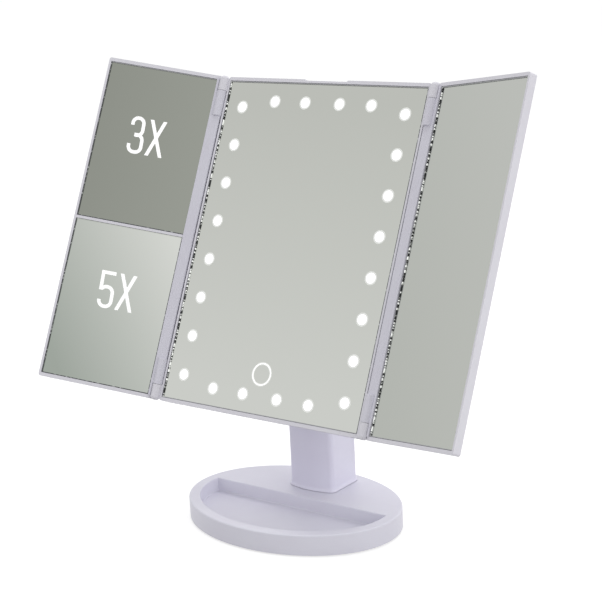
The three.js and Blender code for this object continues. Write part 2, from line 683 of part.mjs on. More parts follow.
function makeCentrePanel() {
  const outline = rectangle(symmetric(centreHalf), panelZ, panelCorner);
  const rounded = panel(outline, [frontY, depthAt(bezelDepth + past)], frontEdge);
  const notch = new THREE.Shape();
  const notchHalf = notchWidth / 2;
  const notchZ = panelZ[1] - notchDepth;
  notch.moveTo(-notchHalf, panelZ[1] + past);
  notch.lineTo(-notchHalf, panelZ[1]);
  notch.quadraticCurveTo(-notchHalf + notchRound / 3, notchZ, -notchHalf + notchRound, notchZ);
  notch.lineTo(notchHalf - notchRound, notchZ);
  notch.quadraticCurveTo(notchHalf - notchRound / 3, notchZ, notchHalf, panelZ[1]);
  notch.lineTo(notchHalf, panelZ[1] + past);
  const ears = [-1, 1].flatMap((sign) => [-1, 1].map((end) => {
    const axisY = frontY - hingeProud;
    return join(
      knuckle(sign * hingeX, axisY, knuckleRadius, fromEnd(end, [-earRise, earLength])),
      block(mirrored([centreHalf - bite, hingeX], sign), [frontY, axisY + knuckleRadius],
        fromEnd(end, [frontEdge, earLength])),
    );
  }));
  const pinHoles = [-1, 1].flatMap((sign) => [-1, 1].map((end) => bar('z', pinRadius + gap,
    fromEnd(end, [earCap, earLength + past]), [sign * hingeX, frontY - hingeProud])));
  const bossDepth = [depthAt(mirrorBack + gap), depthAt(bezelDepth)];
  const body = cut(
    join(
      cut(
        rounded,
        block(symmetric(centreHalf + past), [depthAt(bezelDepth), 0], symmetric(panelHeight)),
        block(symmetric(pocketHalf), [frontY - past, depthAt(mirrorBack + gap)], pocketZ),
        block(symmetric(ledgeHalf), [frontY - past, 0], ledgeZ),
        panel(notch, [frontY - past, 0]),
      ),
      ...headBosses.map((at) => bar('y', bossRadius, bossDepth, at)),
      ...ears,
    ),
    ...pinHoles,
    ...headBosses.map((at) => bar('y', screwSmall.shank + screwPlay,
      [depthAt(bezelDepth - headScrewPilot), depthAt(bezelDepth + past)], at)),
  );
  place('centre_bezel', body, whitePlastic, head);

  const coverFront = depthAt(bezelDepth + gap);
  const coverBack = depthAt(panelThickness);
  const coverInner = coverBack - coverWall;
  const spots = lightPositions();
  const boardDepth = mirrorBack + gap + diffuserThickness + gap + ledHeight;
  const ledBoardBack = depthAt(boardDepth + ledBoardThickness);
  const outer = cut(
    panel(outline, [coverFront - past - rearEdge, coverBack], rearEdge),
    block(symmetric(centreHalf + past), [frontY - past, coverFront], symmetric(panelHeight)),
    block(symmetric(centreHalf - coverWall), [frontY, coverInner], inset(panelZ, coverWall)),
  );
  const earArms = [-1, 1].map((sign) => join(
    bar('x', barrelRadius, mirrored(earX, sign), [0, 0], most),
    block(mirrored(earX, sign), [coverInner + bite, 0], symmetric(barrelRadius)),
  ));
  const ledPostSpan = [ledBoardBack + gap, coverInner + bite];
  const ledPosts = symmetric(windowColumnX).flatMap((x) => symmetric(panelHeight / 4).map(
    (z) => bar('y', postRadius, ledPostSpan, [x, panelMiddle + z], few)));
  const rowPosts = windowRows.map((z) => bar('y', postRadius, ledPostSpan, [0, z], few));
  const touchFront = mirrorBack + gap + diffuserThickness + gap;
  const touchPosts = symmetric(touchBoardHalf - postRadius).map((x) => bar('y', postRadius,
    [depthAt(touchFront + boardThickness) + gap, coverInner + bite], [x, touchZ], few));
  const bossPosts = headBosses.map((at) => bar('y', bossRadius, [coverFront, coverInner + bite],
    at));
  const cover = cut(
    join(outer, ...earArms, ...ledPosts, ...rowPosts, ...touchPosts, ...bossPosts),
    bar('x', shaftRadius + gap, symmetric(earX[1] + past), [0, 0], many),
    ...[-1, 1].map((sign) => bar('x', nutRadius + nutPlay, mirrored([seatX, earX[1] + past], sign),
      [0, 0], many)),
    bar('y', wireBore, [coverInner - past, -nutRadius], [-flangeX[1], 0], few),
    ...headBosses.map((at) => bar('y', screwSmall.shank + screwPlay,
      [coverFront - past, coverBack + past], at)),
    ...headBosses.map((at) => bar('y', screwSmall.head + screwPlay,
      [coverBack - screwSmall.headHeight - gap, coverBack + past], at)),
  );
  place('head_rear_cover', cover, whitePlastic, head);
  headBosses.forEach((at, index) => {
    const reach = panelThickness - gap - screwSmall.headHeight - bezelDepth + headScrewPilot - gap;
    place(`head_screw_${index + 1}`,
      screw(screwSmall, 'y', coverBack - gap, -1, reach, at), steel, head);
  });

  const touchFace = depthAt(mirrorRecess);
  const glass = cut(
    block(symmetric(pocketHalf - gap), [touchFace, depthAt(mirrorBack)], inset(pocketZ, gap)),
    ...spots.map((at) => bar('y', windowRadius + gap, [frontY - past, 0], at, windowSides)),
    cut(bar('y', touchRadius + gap, [frontY, touchFace + touchThickness + gap], [0, touchZ], most),
      bar('y', touchRadius - touchStroke - gap, [frontY - past, 0], [0, touchZ], most)),
  );
  place('centre_mirror', glass, glassMirror, head);
  place('touch_ring', cut(
    bar('y', touchRadius, [touchFace, touchFace + touchThickness], [0, touchZ], most),
    bar('y', touchRadius - touchStroke, [frontY - past, 0], [0, touchZ], most),
  ), lightInk, head);

  const diffuserY = [depthAt(mirrorBack + gap), depthAt(mirrorBack + gap + diffuserThickness)];
  const diffuser = cut(
    join(
      block(symmetric(ledgeHalf - gap), diffuserY, inset(ledgeZ, gap)),
      ...spots.map((at) => bar('y', windowRadius, [touchFace, diffuserY[1] - bite], at,
        windowSides)),
    ),
    ...headBosses.map((at) => bar('y', bossRadius + gap, [frontY, 0], at)),
  );
  place('light_diffuser', diffuser, milkyPlastic, head);

  const boardRing = [depthAt(boardDepth), ledBoardBack];
  const ringHalf = windowColumnX + ledBoardHalfWidth;
  const ringZ = inset(windowRows, -ledBoardHalfWidth / 2);
  const ledBoard = join(
    cut(
      block(symmetric(ringHalf), boardRing, ringZ),
      block(symmetric(windowColumnX - ledBoardHalfWidth), [frontY, 0],
        inset(windowRows, ledBoardHalfWidth)),
      ...headBosses.map((at) => bar('y', bossRadius + gap, [frontY, 0], at)),
    ),
    ...spots.map(([x, z]) => block(inset([x, x], -ledSize / 2),
      [depthAt(boardDepth - ledHeight), ledBoardBack - bite], inset([z, z], -ledSize / 2))),
  );
  place('led_board', ledBoard, circuitBoard, head);
  place('touch_board', block(symmetric(touchBoardHalf),
    [depthAt(touchFront), depthAt(touchFront + boardThickness)],
    inset([touchZ, touchZ], -touchBoardHalf)), greenBoard, head);
}

// A sheet of mirror glass, dished towards the back by 'sag' at its middle
function dishedGlass([x0, x1], [y0, y1], [z0, z1], sag) {
  const sheet = new THREE.BoxGeometry(x1 - x0, y1 - y0, z1 - z0, few, 1, some);
  const at = sheet.attributes.position;
  for (let index = 0; index < at.count; index += 1) {
    const across = (2 * at.getX(index)) / (x1 - x0);
    const along = (2 * at.getZ(index)) / (z1 - z0);
    at.setY(index, at.getY(index) + sag * (1 - across ** 2) * (1 - along ** 2));
  }
  return solid(sheet.translate((x0 + x1) / 2, (y0 + y1) / 2, (z0 + z1) / 2));
}

// A wing in its hinge's frame: x runs out from the hinge axis, y back, z as on the head
function makeWing(side, sign, foldAtRest) {
  const wing = new THREE.Group();
  wing.position.set(sign * hingeX, frontY - hingeProud, 0);
  wing.rotation.z = -sign * THREE.MathUtils.degToRad(foldAtRest);
  head.add(wing);

  const across = (range) => mirrored(range, sign);
  const face = hingeProud;
  const back = face + wingThickness;
  const glassX = [wingMirrorStart, wingReach - wingLip];
  const pocketX = inset(glassX, -gap);
  const split = dividerWidth / 2;
  const pockets = side === 'left'
    ? [[pocketZ[0], panelMiddle - split], [panelMiddle + split, pocketZ[1]]] : [pocketZ];
  const ledgeFront = face + wingRecess + wingGlass + gap;
  const backFront = back - wingBackThickness;
  const backX = [wingMirrorStart - 2 * gap, wingReach - wingBackInset];
  const backZ = inset(pocketZ, -2 * gap);
  const knuckles = [-1, 1].map((end) => knuckle(0, 0, knuckleRadius,
    fromEnd(end, knuckleSpan)));
  const frame = cut(
    join(
      cut(
        panel(rectangle(across([wingInnerEdge, wingReach]), panelZ, panelCorner),
          [face, back], frontEdge),
        ...pockets.flatMap((range) => [
          block(across(pocketX), [-past, ledgeFront], range),
          block(across(inset(pocketX, wingLedge)), [-past, back + past],
            inset(range, wingLedge)),
        ]),
        block(across(inset(backX, -gap)), [backFront - gap, back + past], inset(backZ, -gap)),
      ),
      bar('z', stripRadius, inset(panelZ, stripFrom), [0, 0], many),
      ...knuckles,
    ),
    ...[-1, 1].map((end) => bar('z', knuckleRadius + gap,
      fromEnd(end, [-past, knuckleSpan[0]]), [0, 0], many)),
    ...[-1, 1].map((end) => bar('z', pinRadius + gap,
      fromEnd(end, [knuckleSpan[0] - past, stripFrom + pinEndPlay]), [0, 0])),
  );
  place(`${side}_wing_frame`, frame, whitePlastic, wing);
  place(`${side}_wing_back`, block(across(backX), [backFront, back], backZ), whitePlastic, wing);

  const glassFront = face + wingRecess;
  if (side === 'left') {
    const [low, high] = pockets.map((range) => inset(range, gap));
    const depth = [glassFront, glassFront + lensGlass];
    place('mirror_3x', dishedGlass(across(glassX), depth, high, lensSag3x), glassMirror, wing);
    place('mirror_5x', dishedGlass(across(glassX), depth, low, lensSag5x), glassMirror, wing);
  } else {
    place('right_mirror', block(across(glassX), [glassFront, glassFront + wingGlass],
      inset(pocketZ, gap)), glassMirror, wing);
  }
  [['top', 1], ['bottom', -1]].forEach(([end, up]) => {
    const pin = bar('z', pinRadius, fromEnd(up, [earCap + pinEndPlay, stripFrom]),
      [sign * hingeX, frontY - hingeProud]);
    place(`hinge_pin_${side}_${end}`, pin, steel, head);
  });
}

makeBase();
makeStem();
makeCells();
makeTiltHinge();
makeCentrePanel();
makeWing('left', -1, leftFoldAtRest);
makeWing('right', 1, rightFoldAtRest);

export default object;
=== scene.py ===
"""A three-panel lighted makeup mirror in pale lavender ABS, dressed for rendering.

Shapes are modelled in millimetres in the frame of the body that carries them and placed
in metres: the stand in the world's frame, the head in its tilted frame, and each wing in
the frame of its hinge.
"""

import math

import bmesh
import bpy
from mathutils import Matrix, Vector


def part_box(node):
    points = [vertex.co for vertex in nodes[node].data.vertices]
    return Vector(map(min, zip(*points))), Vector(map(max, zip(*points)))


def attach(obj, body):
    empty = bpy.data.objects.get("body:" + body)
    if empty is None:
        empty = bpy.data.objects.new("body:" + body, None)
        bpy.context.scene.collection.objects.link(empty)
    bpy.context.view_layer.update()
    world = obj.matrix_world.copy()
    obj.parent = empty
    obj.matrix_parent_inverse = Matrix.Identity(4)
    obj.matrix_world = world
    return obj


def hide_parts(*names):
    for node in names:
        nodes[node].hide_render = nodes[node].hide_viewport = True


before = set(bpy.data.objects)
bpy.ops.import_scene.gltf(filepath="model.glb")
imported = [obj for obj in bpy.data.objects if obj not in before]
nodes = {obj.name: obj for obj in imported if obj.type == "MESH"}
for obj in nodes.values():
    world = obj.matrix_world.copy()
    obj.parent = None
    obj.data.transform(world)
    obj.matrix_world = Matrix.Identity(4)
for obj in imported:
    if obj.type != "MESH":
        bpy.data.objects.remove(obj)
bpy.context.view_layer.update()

MM = 0.001

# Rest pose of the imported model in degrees, and its tilt axis in the world's frame
TILT = 25.0
LEFT_FOLD = 26.0
RIGHT_FOLD = 19.5
PIVOT = (0.0, 36.0, 177.5)

# The centre panel's front face and the hinge lines, in the head's frame
FRONT = -29.0
HINGE_X = 86.5
HINGE_Y = FRONT - 0.4

WORLD_FRAME = Matrix.Scale(MM, 4)
HEAD_FRAME = (WORLD_FRAME @ Matrix.Translation(PIVOT)
              @ Matrix.Rotation(math.radians(-TILT), 4, "X"))
WING_FRAME = {
    "left": HEAD_FRAME @ Matrix.Translation((-HINGE_X, HINGE_Y, 0))
    @ Matrix.Rotation(math.radians(LEFT_FOLD), 4, "Z"),
    "right": HEAD_FRAME @ Matrix.Translation((HINGE_X, HINGE_Y, 0))
    @ Matrix.Rotation(math.radians(-RIGHT_FOLD), 4, "Z"),
}


# Camera: lengths in millimetres, the focal length and the picture in pixels

AZIMUTH, ELEVATION, ROLL = (math.radians(a) for a in (36.91, 15.63, -2.75))
DISTANCE = 1017.61
AIM = Vector((0, 0, 150))
SLIDE = (10.69, -21.35)
FOCAL_PIXELS = 1527.26
IMAGE = (602, 600)
CENTRE = (301.96, 340)
SENSOR_WIDTH = 36


def make_camera():
    """The photograph's viewpoint, solved from the lights and the corners of the panels."""
    back = Vector((math.sin(AZIMUTH) * math.cos(ELEVATION),
                   -math.cos(AZIMUTH) * math.cos(ELEVATION), math.sin(ELEVATION)))
    right = (-back).cross(Vector((0, 0, 1))).normalized()
    up = right.cross(-back)
    rolled_right = math.cos(ROLL) * right + math.sin(ROLL) * up
    rolled_up = -math.sin(ROLL) * right + math.cos(ROLL) * up
    place = (AIM + back * DISTANCE + right * SLIDE[0] + up * SLIDE[1]) * MM
    data = bpy.data.cameras.new("photo_camera")
    data.sensor_width = SENSOR_WIDTH
    data.lens = FOCAL_PIXELS / IMAGE[0] * SENSOR_WIDTH
    data.shift_x = (IMAGE[0] / 2 - CENTRE[0]) / IMAGE[0]
    data.shift_y = (CENTRE[1] - IMAGE[1] / 2) / IMAGE[0]
    camera = bpy.data.objects.new("photo_camera", data)
    camera.matrix_world = Matrix.Translation(place) @ Matrix(
        (rolled_right, rolled_up, back)).transposed().to_4x4()
    bpy.context.scene.collection.objects.link(camera)
    bpy.context.scene.camera = camera


make_camera()
bpy.context.scene.view_settings.view_transform = "Standard"


# Materials: sizes and depths in millimetres

# The sockets of a mixing node that hold colours
MIX_LOW, MIX_HIGH, MIX_RESULT = 6, 7, 2
# The part of its range in which noise mostly lies
NOISE_SPAN = (0.3, 0.7)
# Moulded ABS: flow clouds, and the grain that the spark-eroded tool leaves
FLOW_SIZE = 30
GRAIN_SIZE = 0.45
GRAIN_DEPTH = 0.02
GRAIN_BUMP = 0.35
ABS_ROUGHNESS = (0.36, 0.46)
ABS_IOR = 1.54
# Silvered glass: the haze in its gloss
HAZE_SIZE = 45
SILVER_ROUGHNESS = (0.0108, 0.0252)
# Chips of a ground rim, which carry painted glints: their length along it, their size across and
# how softly the painted glints flash
CHIP_LENGTH = 0.85
CHIP_WIDTH = 1.6
CHIP_SOFTNESS = 0.05
CHIP_ROUGHNESS = 0.3
# Frosted acrylic
FROST_SIZE = 0.5
ACRYLIC_ROUGHNESS = 0.55
ACRYLIC_IOR = 1.49


def colour(code):
    """An sRGB hex colour as linear RGBA."""
    parts = [int(code[i:i + 2], 16) / 255 for i in (0, 2, 4)]
    return tuple(p / 12.92 if p <= 0.04045 else ((p + 0.055) / 1.055) ** 2.4
                 for p in parts) + (1.0,)


def add(tree, kind, inputs=None, **settings):
    """Adds one shader node; an input is a value or another node's socket."""
    made = tree.nodes.new("ShaderNode" + kind)
    for key, value in settings.items():
        setattr(made, key, value)
    for key, value in (inputs or {}).items():
        if isinstance(value, bpy.types.NodeSocket):
            tree.links.new(value, made.inputs[key])
        else:
            made.inputs[key].default_value = value
    return made


def new_material(name):
    """An empty material: itself, its node tree and the place on the object in it."""
    made = bpy.data.materials.new(name)
    made.use_nodes = True
    made.node_tree.nodes.clear()
    return made, made.node_tree, add(made.node_tree, "TexCoord").outputs["Object"]


def close(tree, inputs):
    """Ends a material's tree with its surface."""
    surface = add(tree, "BsdfPrincipled", inputs)
    add(tree, "OutputMaterial", {"Surface": surface.outputs[0]})


def noise(tree, at, size, detail, roughness=0.5):
    """Soft noise, its blotches about a size across."""
    return add(tree, "TexNoise", {"Vector": at, "Scale": 1 / (size * MM), "Detail": detail,
                                  "Roughness": roughness}).outputs[0]


def two_tone(tree, factor, low, high):
    """Runs from one hex colour to another as the factor runs from 0 to 1."""
    mix = add(tree, "Mix", {0: factor, MIX_LOW: colour(low), MIX_HIGH: colour(high)},
              data_type="RGBA")
    return mix.outputs[MIX_RESULT]


def spread(tree, value, low, high, to_low=0.0, to_high=1.0):
    """Maps a range of values onto another and clamps it."""
    return add(tree, "MapRange", {"Value": value, "From Min": low, "From Max": high,
                                  "To Min": to_low, "To Max": to_high}).outputs[0]


def moulded_plastic(name, pale, deep):
    """Injection-moulded plastic: faint flow clouds, spark-eroded grain and soft gloss."""
    made, tree, at = new_material(name)
    clouds = noise(tree, at, FLOW_SIZE, 3.0, 0.6)
    grain = noise(tree, at, GRAIN_SIZE, 2.0)
    bump = add(tree, "Bump", {"Strength": GRAIN_BUMP, "Distance": GRAIN_DEPTH * MM,
                              "Height": grain})
    close(tree, {
        "Base Color": two_tone(tree, spread(tree, clouds, *NOISE_SPAN), deep, pale),
        "Roughness": spread(tree, grain, *NOISE_SPAN, *ABS_ROUGHNESS),
        "IOR": ABS_IOR,
        "Normal": bump.outputs[0],
    })
    return made


def silver_with_painted_reflection(name, low, high, slope, span, place=HEAD_FRAME):
    """Silvered float glass: a near-perfect mirror whose base colour holds the faint green-grey
    tone of its silvering and a painted reflection tone, which drifts from one hex colour to
    another across the sheet; slope is the direction of the drift (x, z) in the frame of the
    sheet's body and span where it starts and ends, in millimetres along it."""
    made, tree, at = new_material(name)
    direction = (place.to_3x3() @ Vector((slope[0], 0, slope[1]))).normalized()
    start = direction.dot(place.translation)
    reach = add(tree, "VectorMath", {0: at, 1: direction},
                operation="DOT_PRODUCT").outputs["Value"]
    drift = spread(tree, reach, *(start + end * MM for end in span))
    haze = noise(tree, at, HAZE_SIZE, 2.0)
    close(tree, {
        "Base Color": two_tone(tree, drift, low, high),
        "Metallic": 1.0,
        "Roughness": spread(tree, haze, *NOISE_SPAN, *SILVER_ROUGHNESS),
    })
    return made


def edge_with_painted_glints(name, dark, bright, share, glow):
    """The ground rim of a sheet, seen through the sheet: chips painted as glints, bright and
    glowing, or dark. Share is the part of the chips that stay dark, and glow the emission of the
    others."""
    made, tree, at = new_material(name)
    squeeze = CHIP_LENGTH / CHIP_WIDTH
    sized = add(tree, "Mapping", {"Vector": at, "Scale": (squeeze, squeeze, 1)})
    chips = add(tree, "TexVoronoi", {"Vector": sized.outputs[0],
                                     "Scale": 1 / (CHIP_LENGTH * MM)})
    flash = spread(tree, chips.outputs["Color"], share - CHIP_SOFTNESS, share + CHIP_SOFTNESS)
    close(tree, {
        "Base Color": two_tone(tree, flash, dark, bright),
        "Roughness": CHIP_ROUGHNESS,
        "Emission Color": (1, 1, 1, 1),
        "Emission Strength": spread(tree, flash, 0, 1, 0, glow),
    })
    return made


def plain_finish(name, low, high, rough, size, metallic=0.0, bump=0.0, ior=None):
    """A finish with mottled colour and gloss; size is that of the mottling, bump its depth."""
    made, tree, at = new_material(name)
    mottle = noise(tree, at, size, 4.0, 0.6)
    inputs = {
        "Base Color": two_tone(tree, spread(tree, mottle, 0.35, 0.65), low, high),
        "Roughness": spread(tree, mottle, *NOISE_SPAN, *rough),
        "Metallic": metallic,
    }
    if ior:
        inputs["IOR"] = ior
    if bump:
        inputs["Normal"] = add(tree, "Bump", {"Strength": 0.5, "Distance": bump * MM,
                                              "Height": mottle}).outputs[0]
    close(tree, inputs)
    return made


def glowing_finish(name, bright, dim, strength):
    """A surface that glows, with a grainy frost between two tones: lit from behind at the lights
    and the touch mark, a painted glow on the white ink.
    """
    made, tree, at = new_material(name)
    frost = noise(tree, at, FROST_SIZE, 2.0)
    tone = two_tone(tree, spread(tree, frost, 0.3, 0.6), dim, bright)
    close(tree, {
        "Base Color": tone,
        "Roughness": ACRYLIC_ROUGHNESS,
        "IOR": ACRYLIC_IOR,
        "Emission Color": tone,
        "Emission Strength": strength,
    })
    return made


# Satin ABS: pale lavender, hardly any texture, a broad soft highlight
lavender_abs = moulded_plastic("satin_abs_lavender", "dfdee9", "dcdae6")
# The same ABS a shade more violet on the stem, its back and its lid: the painted violet tint of
# the stem's shade
stem_abs_painted_shade = moulded_plastic("satin_abs_violet_lavender_painted_shade", "dfddec", "dcd9e9")
# The same ABS a shade greyer and darker on the panels: painted shade of their front faces
panel_abs_painted_shade = moulded_plastic("satin_abs_grey_lavender_painted_shade", "dbdae1", "d8d6de")
# The hinge strips and knuckles: the same ABS a shade deeper, as painted shade on them
hinge_abs_painted_shade = moulded_plastic("satin_abs_deep_lavender_painted_shade", "d3d2dc", "d0ced9")
# Silvered glass: the silvering's faint green-grey, and for each sheet a painted reflection tone
# that drifts across it
centre_silver_painted_reflection = silver_with_painted_reflection("silvered_glass_centre_painted_reflection", "caccc7", "bbbdb7", (0, 1),
                               (-100, 100))
right_silver_painted_reflection = silver_with_painted_reflection("silvered_glass_right_painted_reflection", "b2b5af", "babcb7", (0.94, 0.33),
                              (-24, 108), WING_FRAME["right"])
lens_silver_3x_painted_reflection = silver_with_painted_reflection("silvered_glass_3x_painted_reflection", "8f928a", "979a92", (1, 0), (-80, -10),
                                WING_FRAME["left"])
lens_silver_5x_painted_reflection = silver_with_painted_reflection("silvered_glass_5x_painted_reflection", "9ea59d", "d3d5d0", (0.81, 0.59),
                                (-123, -12), WING_FRAME["left"])
# Cut and ground rims of the sheets with painted glints: bright glowing chips on the rims that
# face the light, mostly dark dull chips elsewhere
glass_edge_painted_glints = edge_with_painted_glints("ground_glass_edge_painted_glints", "1e2123", "fbfdfb", 0.6, 0.45)
dull_edge_painted_glints = edge_with_painted_glints("dull_glass_edge_painted_glints", "484b4d", "bbbebd", 0.78, 0.03)
# Painted rims: grey edging paint with a hard gloss, which on the sheets' top and foot rims also
# stands in as painted shade for the dark gap line along the pocket's wall
edge_paint_and_shade = plain_finish("mirror_edging_paint_and_shade", "a4a5a8", "b4b5b8", (0.3, 0.5), 0.8)
# Frosted acrylic, lit from behind
window_acrylic = glowing_finish("frosted_acrylic_lit", "ffffff", "fbfbff", 0.6)
# Screen-printed and back-lit touch mark
ring_ink = glowing_finish("backlit_screen_ink", "ffffff", "f6f6f4", 0.4)
# Silver etched thin round each light, which lets a little of it through
etched_silver = glowing_finish("etched_silver_margin", "dcddda", "d8dad6", 0.24)
# Screen-printed white enamel ink, with a painted glow that makes it read whiter; nothing lights
# it from behind
white_ink_painted_glow = glowing_finish("white_screen_ink_painted_glow", "ffffff", "fafafa", 0.25)

zinc_steel = plain_finish("zinc_plated_steel", "a9abb0", "c6c8cc", (0.25, 0.42), 1.2,
                          metallic=1.0, bump=0.01)
nickel = plain_finish("nickel_plated_spring_steel", "b5b1a6", "d3d0c6", (0.18, 0.32), 2.0,
                      metallic=1.0)
iron = plain_finish("sand_cast_iron", "4b4c4f", "74767a", (0.6, 0.85), 1.6, metallic=1.0,
                    bump=0.12)
foam_rubber = plain_finish("eva_foam_rubber", "2f3034", "46474d", (0.85, 0.95), 0.9,
                           bump=0.08, ior=1.5)
green_mask = plain_finish("fr4_green_solder_mask", "1f5a37", "2f7a4a", (0.3, 0.45), 3.0,
                          ior=1.55)
white_mask = plain_finish("fr4_white_solder_mask", "e3e6e2", "f4f5f2", (0.35, 0.5), 2.5,
                          ior=1.55)
sleeve = plain_finish("shrink_sleeve_graphite", "23262c", "3a3e47", (0.3, 0.45), 6.0,
                      ior=1.57)
sheath = plain_finish("pvc_sheath_black", "1d1e21", "2d2e33", (0.45, 0.6), 1.5, ior=1.54)
nylon = plain_finish("unfilled_nylon", "e6e4da", "f2f0e8", (0.45, 0.6), 2.0, ior=1.53)


# Modelling

AXES = "xyz"
TURN = {"x": Matrix.Rotation(math.pi / 2, 4, "Y"), "y": Matrix.Rotation(-math.pi / 2, 4, "X"),
        "z": Matrix.Identity(4)}
# How near an edge lies to a plane that it counts as in, and vertices that count as one
SLACK = 0.05
WELD = 1e-3
SMOOTH_ANGLE = math.radians(40)
# How far a cutting tool reaches past the surface that it cuts, in small and large solids
SHORT_CUT = 2
OVERCUT = 5


def mirrored(side, *ends):
    """Two distances from the middle as a span on one side of it."""
    return sorted(side * end for end in ends)


def block(x, y, z):
    """A closed block between two values on each axis."""
    bm = bmesh.new()
    low, high = (Vector(ends) for ends in zip(x, y, z))
    bmesh.ops.create_cube(bm, size=1.0, matrix=Matrix.Translation((low + high) / 2)
                          @ Matrix.Diagonal((*(high - low), 1)))
    return bm


def rod(axis, radius, span, centre=(0, 0), sides=48, far_radius=None):
    """A closed round bar along an axis; centre holds its other two coordinates."""
    bm = bmesh.new()
    middle = list(centre)
    middle.insert(AXES.index(axis), (span[0] + span[1]) / 2)
    bmesh.ops.create_cone(bm, cap_ends=True, segments=sides, radius1=radius,
                          radius2=radius if far_radius is None else far_radius,
                          depth=span[1] - span[0],
                          matrix=Matrix.Translation(middle) @ TURN[axis])
    return bm


def soften(bm, width, segments=3, degrees=30, where=None):
    """Rounds the edges that turn by more than an angle, all of them or where told."""
    picked = [edge for edge in bm.edges if len(edge.link_faces) == 2
              and edge.calc_face_angle(0) > math.radians(degrees)
              and (where is None or where(*(v.co for v in edge.verts)))]
    bmesh.ops.bevel(bm, geom=picked, offset=width, segments=segments, profile=0.5,
                    affect="EDGES", material=-1, clamp_overlap=True)
    return bm


def along(axis):
    """Picks the edges that run along an axis."""
    index = AXES.index(axis)
    return lambda a, b: abs((a - b).normalized()[index]) > 0.99


def level_with(axis, value):
    """Picks the edges that lie at one value of an axis."""
    index = AXES.index(axis)
    return lambda a, b: abs(a[index] - value) < SLACK and abs(b[index] - value) < SLACK


def at_height(z):
    return level_with("z", z)


def at_depth(y):
    return level_with("y", y)


def everything(bm):
    return bm.verts[:] + bm.edges[:] + bm.faces[:]


def slice_up(bm, axis, places):
    """Adds loops of edges across an axis."""
    for place in places:
        bmesh.ops.bisect_plane(bm, geom=everything(bm), dist=1e-4,
                               plane_co=Vector([place if name == axis else 0 for name in AXES]),
                               plane_no=Vector([float(name == axis) for name in AXES]))
    return bm


def in_finish(bm, index):
    """Gives all faces of a solid one of its piece's finishes."""
    for face in bm.faces:
        face.material_index = index
    return bm


def together(*parts):
    """Several solids as the bodies of one mesh."""
    whole = bmesh.new()
    for part in parts:
        mesh = bpy.data.meshes.new("part")
        part.to_mesh(mesh)
        part.free()
        whole.from_mesh(mesh)
        bpy.data.meshes.remove(mesh)
    return whole


def cleaned(bm, degrees):
    """Welds vertices that coincide and dissolves the edges inside flat faces."""
    bmesh.ops.remove_doubles(bm, verts=bm.verts, dist=WELD)
    bmesh.ops.dissolve_limit(bm, angle_limit=math.radians(degrees), verts=bm.verts,
                             edges=bm.edges, delimit={"NORMAL"})
    return bm


def combine(bm, tools, operation="DIFFERENCE"):
    """The solid with the tools cut out of it, or joined to it."""
    scene = bpy.context.scene
    made = []
    for source in [bm, *tools]:
        mesh = bpy.data.meshes.new("step")
        source.to_mesh(mesh)
        source.free()
        made.append(bpy.data.objects.new("step", mesh))
        scene.collection.objects.link(made[-1])
    for tool in made[1:]:
        step = made[0].modifiers.new("step", "BOOLEAN")
        step.operation = operation
        step.solver = "EXACT"
        step.object = tool
    depsgraph = bpy.context.evaluated_depsgraph_get()
    result = bpy.data.meshes.new_from_object(made[0].evaluated_get(depsgraph))
    whole = bmesh.new()
    whole.from_mesh(result)
    bpy.data.meshes.remove(result)
    for item in made:
        mesh = item.data
        bpy.data.objects.remove(item)
        bpy.data.meshes.remove(mesh)
    return cleaned(whole, 0.3)


def packed_box(node):
    """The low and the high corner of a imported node, in millimetres."""
    return (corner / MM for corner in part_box(node))


def refined(node, width):
    """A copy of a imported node, merged and with its edges rounded, in the world's frame."""
    bm = bmesh.new()
    bm.from_mesh(nodes[node].data)
    bmesh.ops.scale(bm, vec=(1 / MM,) * 3, verts=bm.verts)
    return soften(cleaned(bm, 0.5), width, 2, 40)


def finish_piece(name, bm, materials, body, stands_for=(), place=WORLD_FRAME):
    """Turns a solid in millimetres into a piece of the object that rides on a body."""
    bmesh.ops.transform(bm, matrix=place, verts=bm.verts)
    mesh = bpy.data.meshes.new(name)
    bm.to_mesh(mesh)
    bm.free()
    mesh.polygons.foreach_set("use_smooth", [True] * len(mesh.polygons))
    mesh.set_sharp_from_angle(angle=SMOOTH_ANGLE)
    for material in materials if isinstance(materials, list) else [materials]:
        mesh.materials.append(material)
    item = bpy.data.objects.new(name, mesh)
    bpy.context.scene.collection.objects.link(item)
    level = item.modifiers.new("even_normals", "WEIGHTED_NORMAL")
    level.keep_sharp = True
    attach(item, body)
    if stands_for:
        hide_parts(*stands_for)


# Base

BASE_HALF = (80.0, 60.0)
BASE_FOOT = 0.6
BASE_TOP = 15.0
BASE_WALL = 2.2
OVAL_SIDES = 160
# The tray: the width of the rim round it, where its back wall stands, its floor's height
# and the floor's thickness
TRAY_RIM = 7.8
TRAY_BACK = 5.0
TRAY_FLOOR = 5.2
FLOOR_WALL = 1.6
# Where the tools that hollow the base begin and end, clear of it
TRAY_TOOL_TOP = 24
ROOM_TOOL_TOP = 30
ROOM_FOOT = -4
PAD_INSET = 7
PAD_TOP = 0.9
# The inlet: its opening in the base's back, the shell's wall and the height of its tongue
INLET_HOLE = ((-4.5, 4.5), (50, 64), (6.2, 9.8))
INLET_WALL = 0.45
TONGUE_HEIGHT = (7.7, 8.2)
# Screws: head radius, head height and shank radius
SMALL_SCREW = (2.2, 1.0, 1.1)
STEM_SCREW = (2.7, 1.7, 1.4)
PANEL_SCREW = (1.8, 1.1, 0.9)
PANEL_SCREW_LENGTH = 6.0
SCREW_TURN = {"down": Matrix.Rotation(math.pi, 4, "X"),
              "back": Matrix.Rotation(-math.pi / 2, 4, "X")}


